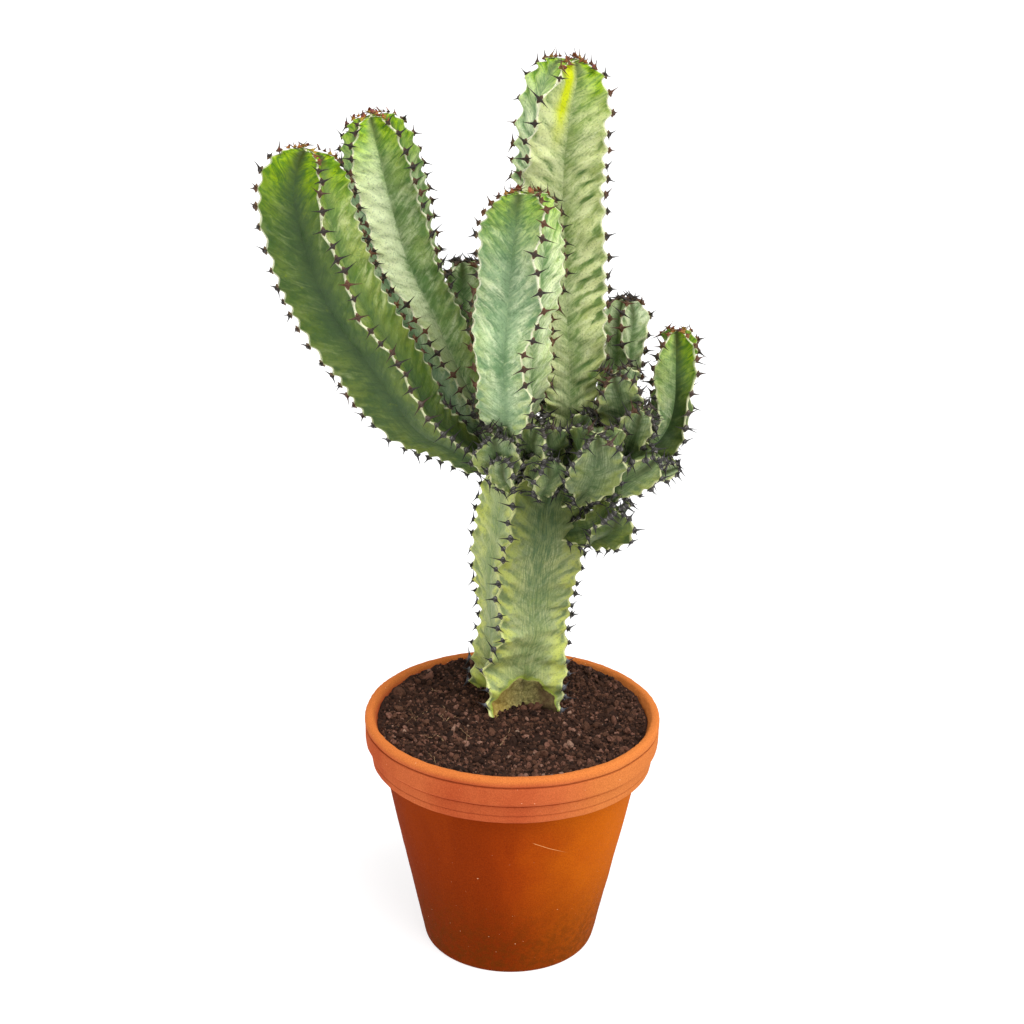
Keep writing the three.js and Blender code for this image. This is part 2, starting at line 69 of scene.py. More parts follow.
# Inside of the pot from its floor to its lip, as pairs of height and radius
POT_INNER_WALL = (
    (POT_FLOOR_THICKNESS, 68),
    (LOWER_BAND_BOTTOM, 109),
    (UPPER_BAND_BOTTOM + 4, 121),
    (POT_HEIGHT - 9, POT_LIP_INNER_RADIUS - 1),
)

SOIL_LEVEL = 217
SOIL_MOUND = 10
SOIL_LUMP = 1.4

GROOVE_DEPTH = ((0, 0.62),)
DOME_REACH = 1
DOME_POWER = 2.7
APEX_RADIUS = 0.16
SWAY_LENGTH = 84
SWAY = 6
SWAY_STEP = 1.9
SWAY_LEAST_GIRTH = 20

ROW_STEP = 1.25            # along the edge of a rib, between two rows of points
FLANK_COLUMNS = 15         # from the edge of a rib to the groove beside it
TOOTH_PITCH = 13.0
TIP_PITCH = 3.6            # pitch of the young teeth round the growing point
TIP_LENGTH = 1.0           # length of rib over which the pitch shortens, over the girth
MARGIN_ROUND = 1.2         # half the thickness of a rib's edge
RIM_WIDTH = 1.5            # of the pale line along a rib's edge
SWELL = 1.1                # of the ridges that run from the groove up to each tooth
SWELL_RISE = 2.6           # how fast they rise from the edge
STREAK_SLOPE = 0.85        # how steeply the streaks climb from the groove to the edge
FLANK_HOLLOW = 0.022       # depth of the hollow between edge and groove, over the girth
CREASE_WIDTH = 2.4
CREASE_DEPTH = 0.7
CREASE_EASE = 2.5          # distance from the groove over which a flank's slope fades
EDGE_EASE = 0.5            # distance from the edge over which it does so too
STRIPE_PLACE = 8.8         # of the yellow stripe, from the groove
STRIPE_WIDTH = 5.6
STRIPE_YOUTH = 0.35        # how fresh the green is on the half face with the stripe


def even_ribs(count, *firsts):
    """Rows of directions of evenly spread ribs, one row for each direction of the first rib."""
    return tuple(tuple((first + 360 // count * i) % 360 for i in range(count))
                 for first in firsts)


# Every stem: the points of its axis from its seat to its tip, its girth as pairs of fraction
# along the axis and radius, and the directions of its ribs in rows that are evenly spaced from
# the seat to the tip. "reach", in such rows too, is how far each rib goes over the girth and
# "groove" the groove's depth. "pale" is for each face the creaminess of its left and right half,
# "shade_and_deep_green" how dark it is at the foot and the tip, as painted shade and a deeper
# green, with painted light below zero, or, as four numbers, so for its left and its right half,
# and "warm" how yellow its green is; one number stands for a pair and one row for all the
# faces. "stripe" is the half face with a yellow stripe and "fresh" how young the tip is.
OFFSET = dict(age=0.7, bite=3.0, ruffle=1.8, ribs=even_ribs(4, 225))
STEMS = (
    dict(
        name="trunk", bite=3.4, ruffle=2.4, age=1.0, swell=1.4,
        sway=2, groove=((0, 0.6), (0.2, 0.6), (0.42, 0.84)), warm=(0.8, 0.65, 0.4, 0.4),
        axis=((9, 43, 165), (8, 43, 215), (7, 43, 269), (8, 42, 320), (11, 40, 370),
              (16, 36, 420), (25, 33, 462), (33, 31, 492)),
        girth=((0, 26), (0.12, 50), (0.3, 50), (0.62, 52), (0.8, 50), (1, 46)),
        ribs=((163, 236, 316, 70), (163, 238, 316, 70), (163, 234, 320, 70), (164, 226, 332, 70),
              (165, 250, 336, 71), (166, 240, 342, 72), (167, 241, 347, 74), (168, 246, 349, 76),
              (168, 242, 349, 78), (168, 250, 349, 80), (168, 258, 349, 80)),
        reach=((1, 1, 1, 1), (1, 1.05, 1.03, 1), (1.06, 1.08, 1, 1.04), (0.97, 1, 1.02, 1),
               (0.82, 1, 0.91, 0.95), (0.92, 1, 0.93, 1), (1, 1, 1, 1.03), (1.03, 1, 1.03, 1),
               (1, 1, 1, 0.96), (1, 1, 1, 1), (1, 1, 1, 1)),
        pale=((0.5, 0.45), (0.45, 0.48), 0.3, 0.3), shade_and_deep_green=((-1.2, -0.9), (-1.5, 1), (0.1, 0.3), 0),
    ),
    dict(
        name="arm_centre", bite=4.6, ruffle=2.8, pitch=15.5, sway=1.5, swell=2,
        fresh=0.95, groove=((0, 0.7),), warm=(-0.4, 0.55, 0.3, 0.2),
        axis=((36, 31, 478), (44, 31, 505), (43, 31, 548), (39, 30, 605), (37, 28, 658),
              (33, 26, 709), (33, 22, 765), (38, 20, 810)),
        girth=((0, 16), (0.12, 28), (0.3, 39), (0.6, 40), (0.85, 43), (1, 42)),
        ribs=((175, 216, 345, 80), (171, 214, 343, 77), (167, 210, 341, 74), (163, 206, 340, 71),
              (159, 229, 338, 68), (155, 259, 335, 65)),
        reach=((1, 1, 1, 1), (1, 1, 1, 1), (1.05, 1.05, 1, 1), (1.2, 1.12, 0.98, 1),
               (0.97, 1.04, 1, 1), (0.86, 1, 1, 1)),
        pale=((0.6, 0.7), (0.9, 0.6), 0.4, 0.4), shade_and_deep_green=(-1, (-0.3, -0.1), 0, 0), stripe=(1, 0),
    ),
    dict(
        name="arm_left", bite=3.4, ruffle=1.2, dome=1.3, sway=2.5,
        fresh=1.0, groove=((0, 0.66),), warm=(0.25, 0.55, 0.2, 0.2),
        axis=((-16, 25, 456), (-34, 15, 465), (-60, 5, 484), (-86, -8, 506), (-103, -16, 535),
              (-125, -22, 572), (-144, -26, 602), (-159, -28, 634), (-168, -28, 660),
              (-174, -27, 687), (-176, -25, 715), (-172, -24, 740)),
        girth=((0, 15), (0.1, 18), (0.22, 27), (0.4, 37), (0.62, 41), (0.85, 42), (1, 40)),
        ribs=((201, 318, 26, 111), (201, 316, 26, 111), (201, 306, 24, 111), (201, 299, 21, 111),
              (201, 296, 21, 111), (201, 291, 21, 111)),
        pale=((0.14, 0.04), 0.25, 0.3, 0.4), shade_and_deep_green=((1, 1.3), (1.4, 0.2), 0.5, 0.5),
    ),
    dict(
        name="arm_left_back", bite=3.6, ruffle=1.2, dome=1.6, sway=1.5,
        fresh=1.0, groove=((0, 0.7),), warm=(-0.5, 0.2, 0.1, 0.2, 0.2),
        axis=((-12, 36, 462), (-40, 46, 492), (-64, 52, 531), (-83, 56, 575), (-98, 58, 619),
              (-109, 58, 663), (-119, 56, 710), (-129, 54, 758)),
        girth=((0, 15), (0.14, 26), (0.32, 35), (0.6, 38), (0.85, 38), (1, 36)),
        ribs=((205, 285, 370, 65, 130), (203, 285, 368, 60, 126), (196, 276, 355, 50, 116),
              (178, 244, 325, 33, 106), (170, 232, 323, 27, 99), (164, 238, 308, 20, 92)),
        pale=(0.3, (1.1, 0.3), 0.3, 0.4, 0.4),
        shade_and_deep_green=((-0.6, -0.4), (1, -0.6, -0.3, 0), (0.6, 0.2), 0.4, 0.4),
    ),
    dict(
        name="arm_front", bite=3.6, ruffle=1.4, dome=1.3,
        fresh=0.75, groove=((0, 0.72),), warm=(-0.5, 0.1, 0.2, 0.2),
        axis=((4, 14, 464), (-3, -4, 496), (-5, -18, 545), (-5, -26, 583), (-2, -29, 618),
              (0, -29, 652), (2, -28, 681), (1, -27, 709)),
        girth=((0, 14), (0.12, 22), (0.3, 34), (0.55, 38), (0.8, 41), (1, 38)),
        ribs=((200, 290, 20, 110), (204, 296, 24, 116)),
        pale=((0.3, 0.38), 0.6, 0.3, 0.4), shade_and_deep_green=((-2.4, 0.2, -2.2, 0.3), (-0.2, -0.5), 0.3, 0.3),
    ),
    dict(
        name="arm_right", bite=2.4, ruffle=1.2, fresh=0.7, warm=0.2,
        axis=((52, 36, 444), (80, 40, 452), (108, 40, 464), (130, 38, 487), (138, 34, 516),
              (138, 32, 549), (137, 32, 581)),
        girth=((0, 16), (0.3, 20), (0.5, 23), (0.75, 24), (1, 20)),
        ribs=even_ribs(4, 230, 215),
        pale=((0.5, 0.3), 0.2, 0.3, 0.4), shade_and_deep_green=((0.2, 0, 1.5, 1.6), 1.2, 0.5, 0.3),
    ),
    dict(
        name="arm_back", bite=2.2, ruffle=1.0, ribs=even_ribs(4, 225), pale=0.5,
        axis=((-8, 56, 464), (-30, 68, 488), (-46, 78, 524), (-50, 81, 565), (-50, 81, 601),
              (-51, 80, 628)),
        girth=((0, 12), (0.3, 20), (0.7, 22), (1, 20)),
    ),
    dict(
        name="arm_right_back", bite=2.6, ruffle=1.2, ribs=even_ribs(5, 200), pale=0.6,
        axis=((60, 42, 468), (80, 56, 500), (90, 62, 535), (93, 64, 568), (94, 64, 600)),
        girth=((0, 12), (0.25, 15), (0.6, 22), (0.85, 23), (1, 19)),
    ),
    dict(
        OFFSET, name="offset_large", dome=0.75,
        axis=((46, 20, 424), (57, 4, 440), (63, -14, 460), (67, -29, 483), (68, -38, 509)),
        girth=((0, 10), (0.25, 15), (0.6, 30), (0.85, 33), (1, 32)),
        pale=((0.8, 0.7), 0.4, 0.4, 0.4), shade_and_deep_green=(0.7, 0.65),
    ),
    dict(
        OFFSET, name="offset_upper_right", ribs=even_ribs(4, 215),
        axis=((94, 32, 462), (98, 14, 478), (102, -2, 500), (106, -14, 522)),
        girth=((0, 12), (0.4, 18), (0.75, 20), (1, 18)),
        pale=((0.5, 0.6), 0.7, 0.4, 0.4), shade_and_deep_green=(0.5, 0.3),
    ),
    dict(
        OFFSET, name="offset_outer_right", ribs=even_ribs(4, 205),
        axis=((58, 26, 424), (74, 12, 436), (98, -4, 460), (121, -20, 482)),
        girth=((0, 12), (0.35, 19), (0.7, 22), (1, 20)),
        pale=(0.3, (0.6, 0.7), 0.4, 0.4), shade_and_deep_green=(0.4, 0.3),
    ),
    dict(
        OFFSET, name="offset_top_right", dome=0.9,
        axis=((98, 36, 466), (96, 28, 490), (92, 16, 512), (87, 4, 532), (81, -6, 552)),
        girth=((0, 13), (0.3, 21), (0.65, 26), (1, 22)),
        pale=((0.5, 0.6), (0.6, 0.5), 0.4, 0.4), shade_and_deep_green=(0.3, 0.2),
    ),
    dict(
        OFFSET, name="offset_low_right", warm=0.5,
        axis=((46, 32, 390), (66, 20, 397), (82, 0, 410), (88, -22, 432)),
        girth=((0, 12), (0.35, 20), (0.7, 24), (1, 21)),
        pale=((0.3, 0.25), 0.3, 0.4, 0.4), shade_and_deep_green=(1.2, 0.9),
    ),
    dict(
        OFFSET, name="offset_side_right", bite=2.2, side=(0.4, 0, -1), pale=0.7,
        axis=((98, 40, 452), (112, 33, 450), (128, 29, 452), (144, 27, 457)),
        girth=((0, 8), (0.4, 13), (0.75, 14), (1, 10)),
    ),
    dict(
        OFFSET, name="offset_upper_left", dome=0.85, pale=0.5, shade_and_deep_green=(0.3, 0.2),
        axis=((4, 26, 444), (-6, 8, 460), (-14, -12, 480), (-20, -26, 501)),
        girth=((0, 10), (0.4, 19), (0.75, 28), (1, 26)),
    ),
    dict(
        OFFSET, name="offset_upper_middle", dome=0.9, ribs=even_ribs(4, 180),
        axis=((24, 26, 448), (23, 8, 466), (21, -10, 486), (20, -24, 508)),
        girth=((0, 12), (0.4, 21), (0.75, 25), (1, 22)),
        pale=0.55, shade_and_deep_green=(0.6, 0.4),
    ),
    dict(
        OFFSET, name="offset_lower_middle", ribs=even_ribs(4, 165),
        axis=((22, 14, 434), (23, -2, 447), (24, -16, 461), (24, -27, 480)),
        girth=((0, 8), (0.3, 13), (0.75, 21), (1, 18)),
        pale=0.5, shade_and_deep_green=(0.5, 0.4),
    ),
    dict(
        OFFSET, name="offset_middle_right", ribs=even_ribs(4, 200),
        axis=((40, 30, 448), (48, 20, 470), (55, 10, 490), (62, 2, 512)),
        girth=((0, 10), (0.4, 15), (0.75, 16), (1, 14)),
        pale=0.5, shade_and_deep_green=(0.6, 0.4),
    ),
    dict(
        OFFSET, name="offset_lower_left", ribs=even_ribs(4, 215),
        axis=((0, 14, 438), (-5, -4, 451), (-9, -21, 465), (-12, -32, 482)),
        girth=((0, 7), (0.3, 11), (0.75, 17), (1, 15)),
        pale=0.5, shade_and_deep_green=(0.5, 0.4),
    ),
)


# ---- Arithmetic


def smoothstep(x, low, high):
    t = np.clip((np.asarray(x, float) - low) / (high - low), 0, 1)
    return t * t * (3 - 2 * t)


def lerp(a, b, t):
    return a + (b - a) * t


def unit(v):
    return v / np.linalg.norm(v, axis=-1, keepdims=True)


def together(*values):
    """Arrays and numbers stacked in a new last dimension."""
    return np.stack(np.broadcast_arrays(*values), -1)


def polar(radius, turn, *height):
    """Points at a radius and a direction, in a plane or at a height."""
    return together(radius * np.cos(turn), radius * np.sin(turn), *height)


def turns(sides):
    """Directions evenly spread round a circle."""
    return TAU * np.arange(sides) / sides


def circle(u, v, sides):
    """Points round the circles that have u and v as axes."""
    turn = turns(sides)[:, None]
    return u[..., None, :] * np.cos(turn) + v[..., None, :] * np.sin(turn)


def turned(local, x, y, z):
    """Local points of many bodies, turned to the axes x, y and z of each body."""
    return local @ np.stack([x, y, z], 1)


def eased(pairs, t):
    """Values at t of a list of (t, value) pairs, eased from one to the next."""
    t = np.asarray(t, float)
    value = np.full(t.shape, float(pairs[0][1]))
    for (t0, v0), (t1, v1) in zip(pairs, pairs[1:]):
        part = (t >= t0) & (t <= t1)
        value = np.where(part, lerp(v0, v1, smoothstep(t, t0, t1)), value)
    return np.where(t > pairs[-1][0], pairs[-1][1], value)


def waves(points, length, seed, count=7):
    """Smooth noise in about -1 to 1 at points in space, with bumps of about that length."""
    rng = np.random.default_rng(seed)
    ways = unit(rng.normal(size=(count, 3))) * TAU / length * rng.uniform(0.6, 1.5, (count, 1))
    starts = rng.uniform(0, TAU, count)
    return np.sin(points @ ways.T + starts).sum(-1) / math.sqrt(count)


def soil_height(x, y):
    mound = SOIL_MOUND * smoothstep(y, -70, 110)
    lumps = np.sin(x * 0.17 + 0.6) * np.cos(y * 0.15 - 0.4) + 0.7 * np.sin(
        x * 0.31 - y * 0.23
    ) * np.sin(x * 0.08 + y * 0.29)
    return SOIL_LEVEL + mound + SOIL_LUMP * lumps


def inner_wall(z):
    return np.interp(z, *zip(*POT_INNER_WALL))


# ---- Meshes


def ring_quads(rows, columns):
    """Faces of a skin over rows of points that go round counterclockwise."""
    row = np.arange(rows - 1)[:, None] * columns
    column = np.arange(columns)[None, :]
    a, b = row + column, row + (column + 1) % columns
    return np.stack([a, b, b + columns, a + columns], -1).reshape(-1, 4)


def fan(ring, centre, upwards):
    """Triangles from a ring of points to its centre point."""
    after = np.roll(ring, -1)
    pair = (ring, after) if upwards else (after, ring)
    return np.stack([*pair, np.full(len(ring), centre)], -1)


def closed_faces(rows, columns):
    """Faces of a skin that two points after its rows close: the foot's centre, then the top's."""
    ring, centre = np.arange(columns), rows * columns
    return [ring_quads(rows, columns), fan(ring, centre, False),
            fan(ring + centre - columns, centre + 1, True)]


def repeated(faces, count, points):
    """The faces of a body of so many points, for count such bodies."""
    return (faces + points * np.arange(count)[:, None, None]).reshape(-1, faces.shape[1])


def mesh_of(name, points, faces, attributes=None, smooth=True):
    """A mesh in metres from points in millimetres. faces is a list of arrays of triangles or
    quads, and attributes maps a name to one number or three for each point."""
    mesh = bpy.data.meshes.new(name)
    sizes = np.concatenate([np.full(len(f), f.shape[1]) for f in faces]).astype(np.int32)
    loops = np.concatenate([f.ravel() for f in faces]).astype(np.int32)
    mesh.vertices.add(len(points))
    mesh.vertices.foreach_set("co", (np.asarray(points, float) * MM).ravel())
    mesh.loops.add(len(loops))
    mesh.loops.foreach_set("vertex_index", loops)
    mesh.polygons.add(len(sizes))
    starts = np.concatenate([[0], np.cumsum(sizes)[:-1]]).astype(np.int32)
    mesh.polygons.foreach_set("loop_start", starts)
    mesh.polygons.foreach_set("use_smooth", np.full(len(sizes), smooth))
    for key, values in (attributes or {}).items():
        kind, field = ("FLOAT_VECTOR", "vector") if values.ndim == 2 else ("FLOAT", "value")
        mesh.attributes.new(key, kind, "POINT").data.foreach_set(field, values.ravel())
    mesh.update(calc_edges=True)
    mesh.validate()
    return mesh


def linked(name, data):
    """An object in the scene."""
    made = bpy.data.objects.new(name, data)
    bpy.context.scene.collection.objects.link(made)
    return made


def piece(mesh, material, replaces=()):
    """A piece of the object, with its mesh's name, that rides on its one body."""
    made = linked(mesh.name, mesh)
    mesh.materials.append(material)
    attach(made, "root")
    if replaces:
        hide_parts(*replaces)


# ---- Material nodes


def srgb(code):
    """Linear colour with alpha from a hexadecimal sRGB code."""
    values = [int(code[i : i + 2], 16) / 255 for i in (0, 2, 4)]
    linear = [v / 12.92 if v <= 0.04045 else ((v + 0.055) / 1.055) ** 2.4 for v in values]
    return (*linear, 1.0)


class Value:
    """An output of a node. Arithmetic with it adds Math nodes."""

    def __init__(self, nodes, socket):
        self.nodes, self.socket = nodes, socket

    def __add__(self, other):
        return self.nodes.maths("ADD", self, other)

    def __sub__(self, other):
        return self.nodes.maths("SUBTRACT", self, other)

    def __rsub__(self, other):
        return self.nodes.maths("SUBTRACT", other, self)

    def __mul__(self, other):
        return self.nodes.maths("MULTIPLY", self, other)


class Nodes:
    """The node tree of one material, with short calls for the nodes that it uses. Colours are
    values or hexadecimal codes."""

    def __init__(self, name):
        self.material = bpy.data.materials.new(name)
        self.material.use_nodes = True
        self.tree = self.material.node_tree
        self.tree.nodes.clear()

    def add(self, kind, inputs=None, output=0, **settings):
        made = self.tree.nodes.new("ShaderNode" + kind)
        for key, value in settings.items():
            setattr(made, key, value)
        for key, value in (inputs or {}).items():
            if isinstance(value, Value):
                self.tree.links.new(value.socket, made.inputs[key])
            else:
                made.inputs[key].default_value = srgb(value) if isinstance(value, str) else value
        return Value(self, made.outputs[output]) if made.outputs else None

    def maths(self, operation, a, b=0.0):
        return self.add("Math", {0: a, 1: b}, operation=operation)

    def step(self, value, low, high, start=0.0, end=1.0):
        """value eased from start at low to end at high."""
        return self.add(
            "MapRange",
            {"Value": value, "From Min": low, "From Max": high, "To Min": start, "To Max": end},
            interpolation_type="SMOOTHSTEP")

    def mix(self, factor, a, b, blend="MIX"):
        """Two colours mixed by a factor."""
        return self.add("Mix", {0: factor, 6: a, 7: b}, output=2, data_type="RGBA",
                        blend_type=blend)

    def noise(self, vector, scale=1.0, detail=3.0, roughness=0.55, distortion=0.0):
        return self.add("TexNoise", {"Vector": vector, "Scale": scale, "Detail": detail,
                                     "Roughness": roughness, "Distortion": distortion})

    def ramp(self, factor, *stops):
        """A colour from pairs of position and colour."""
        made = self.add("ValToRGB", {0: factor})
        elements = made.socket.node.color_ramp.elements
        while len(elements) < len(stops):
            elements.new(0.5)
        for element, (position, colour) in zip(elements, stops):
            element.position = position
            element.color = srgb(colour)
        return made

    def place(self):
        """The place on the object, in metres."""
        return self.add("TexCoord", output="Object")

    def attribute(self, name, output="Vector"):
        return self.add("Attribute", output=output, attribute_name=name)

    def parts(self, vector):
        first = self.add("SeparateXYZ", {0: vector})
        return [Value(self, socket) for socket in first.socket.node.outputs]

    def join(self, x, y, z):
        return self.add("CombineXYZ", {0: x, 1: y, 2: z})

    def bump(self, height, distance, strength=1.0, normal=None):
        inputs = {"Height": height, "Distance": distance, "Strength": strength}
        return self.add("Bump", inputs if normal is None else {**inputs, "Normal": normal})

    def surface(self, **inputs):
        """The material with its Principled shader's inputs set."""
        named = {key.replace("_", " "): value for key, value in inputs.items()}
        self.add("OutputMaterial", {"Surface": self.add("BsdfPrincipled", named)})
        return self.material


# ---- Skin of the stems


def stem_material():
    """Waxy green skin, with painted light and shade. "flow" holds, in millimetres, the place
    across the streaks, the place along them and a number for each half face; "lines" the distance
    from the groove, the distance along the stem and a number for each face; "skin" the place from
    groove (0) to edge (1), the distance from the tip and the creaminess; "wear" the age, the cork
    and how warm the green is; "tint" how dark the face is, as painted shade and a deeper green,
    the yellow stripe and the ridge that leads to each tooth, which sets painted light on its crest
    and painted shade beside it; and "ends" how young the tip is and the pale rim."""
    n = Nodes("stem_skin")
    across, along, half = n.parts(n.attribute("flow"))
    from_groove, run, face = n.parts(n.attribute("lines"))
    edge, from_tip, pale = n.parts(n.attribute("skin"))
    age, cork, warmth = n.parts(n.attribute("wear"))
    shade_and_deep_green, stripe, ridge_shading = n.parts(n.attribute("tint"))
    youth, margin, _ = n.parts(n.attribute("ends"))
    place = n.place()
    # Painted light and shade of the ridges that lead to the teeth, only in patches
    ridge_shading = ridge_shading * n.step(n.noise(place, 24, 2), 0.42, 0.6, 0.15)

    # Blotches of darker and lighter green, bluish or yellowish by face
    patches = n.noise(place, 30, 5, 0.62)
    light = n.step(patches, 0.34, 0.68)
    cool = n.mix(light, "648861", "9ab492")
    plain = n.mix(light, "61834a", "8fa968")
    warm = n.mix(light, "7b9244", "adb56a")
    green = n.mix(n.step(warmth, -0.8, 0), cool, plain)
    green = n.mix(n.step(warmth, 0, 0.9), green, warm)

    # Feathered streaks from the groove up to the edge; painted light on the crests of the ridges
    # that lead to the teeth and painted shade beside them
    streaks = n.noise(n.join(across * 0.22, along * 0.06, half * 7.3), 1, 6, 0.62, 1)
    broad = n.noise(n.join(across * 0.06, along * 0.026, half * 3.1), 1, 4, 0.6)
    mottle = n.noise(place, 210, 4, 0.6)
    amount = streaks * 0.72 + broad * 0.86 + mottle * 0.3 + pale * 0.62 + ridge_shading * 0.2 - 0.735
    amount = amount + n.step(edge, 0, 0.5, -0.09, 0.05)
    cream = n.step(amount, 0.3, 0.84) * (0.9 - age * 0.35)
    colour = n.mix(cream, green, n.mix(n.step(warmth, 0.1, 0.9), "dce5bc", "dde0a4"))
    pale_streaks = n.step(streaks, 0.5, 0.72, 0, 0.34)
    colour = n.mix(pale_streaks, colour, n.mix(cream, "a9c07c", "e6ecc8"))
    # Darker streaks, the skin's own colour, and painted shade beside the ridges
    shade = n.step(streaks, 0.28, 0.5, 0.5, 0) + n.step(ridge_shading, -0.8, 0.05, 0.5, 0)
    colour = n.mix(shade * (1 - cream * 0.55), colour, "47683a")
    colour = n.mix(age * 0.4, colour, "7a8058")

    # Short dashes that run along the stem beside the groove
    dashes = n.noise(n.join(from_groove * 0.8, run * 0.06, face), 1, 4, 0.65, 0.3)
    dashed = n.step(dashes, 0.42, 0.58) * n.step(from_groove, 8, 28, 1, 0) * (age * 0.66 + 0.12)
    colour = n.mix(dashed * n.step(shade_and_deep_green, -1, 0.3, 0.5), colour, "48693f")

    # Yellowish skin towards the edges of old stems, a little more where the ridges get painted
    # light
    yellowing = n.noise(place, 60, 6, 0.7) + ridge_shading * 0.16
    yellow = n.step(edge, 0.2, 0.95) * n.step(yellowing, 0.4, 0.6) * (age * 0.66 + 0.14)
    colour = n.mix(yellow, colour, "b5bd50")

    # Painted shade and a deeper green on some faces, fresh skin near the tip and a yellow stripe
    for low in (0, 1):
        colour = n.mix(n.step(shade_and_deep_green, low, low + 1), colour, "b0b89c", "MULTIPLY")
    young = n.step(from_tip, 16, 84, 0.94, 0) * youth * n.step(edge, 0.05, 0.5, 0.6)
    colour = n.mix(young, colour, n.mix(n.step(streaks, 0.38, 0.62), "568406", "9aba20"))
    colour = n.mix(stripe, colour, "cbd410")

    # Painted shade in the groove: darker along it, more so on shaded faces, and darkest in the
    # hollow under the tip
    dim, unstriped = n.step(shade_and_deep_green, 0.2, 1.4), 1 - stripe
    width = ((streaks - 0.5) * 0.5 + edge) * n.step(shade_and_deep_green, 0.2, 1.4, 1, 0.62)
    depth = (dim * 0.3 - pale * 0.3 - age * 0.25 + 0.55) * unstriped
    groove = n.step(width, -0.04, 0.46, 1, 0) * depth
    colour = n.mix(groove, colour, n.mix(dim, "466341", "32452a"))
    tip_hollow_shade = n.step(edge, 0, 0.45, 0.8, 0) * n.step(from_tip, 14, 46, 1, 0) * unstriped
    colour = n.mix(tip_hollow_shade, colour, "39400c")

    # Pale, thickened edge
    rim = margin * n.step(mottle, 0.32, 0.5, 0.6)
    colour = n.mix(rim, colour, n.mix(age, "efefcf", "cdd08a"))

    # Fine freckles and a few brown scars
    colour = n.mix(n.step(n.noise(place, 620, 2), 0.52, 0.7, 0, 0.4), colour, "45603c")
    colour = n.mix(n.step(n.noise(place, 55, 4, 0.7), 0.7, 0.75, 0, 0.7), colour, "7a6a3c")

    # Corky foot, more orange on its left and darker on its right, with a yellow-green halo
    bark = n.noise(place, 260, 6, 0.7)
    corky = n.ramp(bark, (0.3, "43371f"), (0.5, "7f7a4a"), (0.7, "b9ab66"))
    sideways = n.parts(place)[0]
    corky = n.mix(n.step(sideways, -0.02, 0.012, 0.6, 0), corky, "a5852f")
    corky = n.mix(n.step(sideways, 0.015, 0.03, 0, 0.75), corky, "4b3222")
    ragged = cork + n.noise(place, 90) * 0.9 - 0.45
    cork_edge = n.step(ragged, 0.4, 0.55)
    colour = n.mix(n.step(ragged, 0.12, 0.36, 0, 0.7), colour, "93a52c")
    colour = n.mix(cork_edge, colour, corky)
    # Saturation by warmth and age; where the painted shade is set below zero, as at the feet, the
    # value rises as painted light
    colour = n.add("HueSaturation", {
        "Color": colour, "Saturation": warmth * 0.08 - age * 0.14 + 1.06,
        "Value": n.step(shade_and_deep_green, -1, 0, 1.4)})

    normal = n.bump(n.noise(place, 1500, 2), 0.00012, 0.5)
    normal = n.bump(mottle, 0.0006, 0.6, normal)
    normal = n.bump(streaks, 0.0009, 0.7, normal)
    normal = n.bump(bark * cork_edge, 0.0022, 1, normal)
    roughness = n.maths("MAXIMUM", n.step(patches, 0.3, 0.7, 0.42, 0.58), cork_edge * 0.92)
    return n.surface(
        Base_Color=colour, Roughness=roughness, Normal=normal, Subsurface_Weight=0.08,
        Subsurface_Radius=(0.5, 1.0, 0.25), Subsurface_Scale=0.004, Specular_IOR_Level=0.25)


def catmull_rom(points):
    """Dense points on the smooth curve through points, and how far along it each one is."""
    p = np.asarray(points, float)
    p = np.vstack([2 * p[0] - p[1], p, 2 * p[-1] - p[-2]])
    t = np.linspace(0, 1, 300, endpoint=False)[:, None]
    parts = []
    for a, b, c, d in zip(p, p[1:], p[2:], p[3:]):
        m0, m1 = (c - a) / 2, (d - b) / 2
        parts.append(b + m0 * t + (3 * (c - b) - 2 * m0 - m1) * t**2
                     + (2 * (b - c) + m0 + m1) * t**3)
    dense = np.vstack([*parts, p[-2:-1]])
    steps = np.linalg.norm(np.diff(dense, axis=0), axis=1)
    return dense, np.concatenate([[0], np.cumsum(steps)])


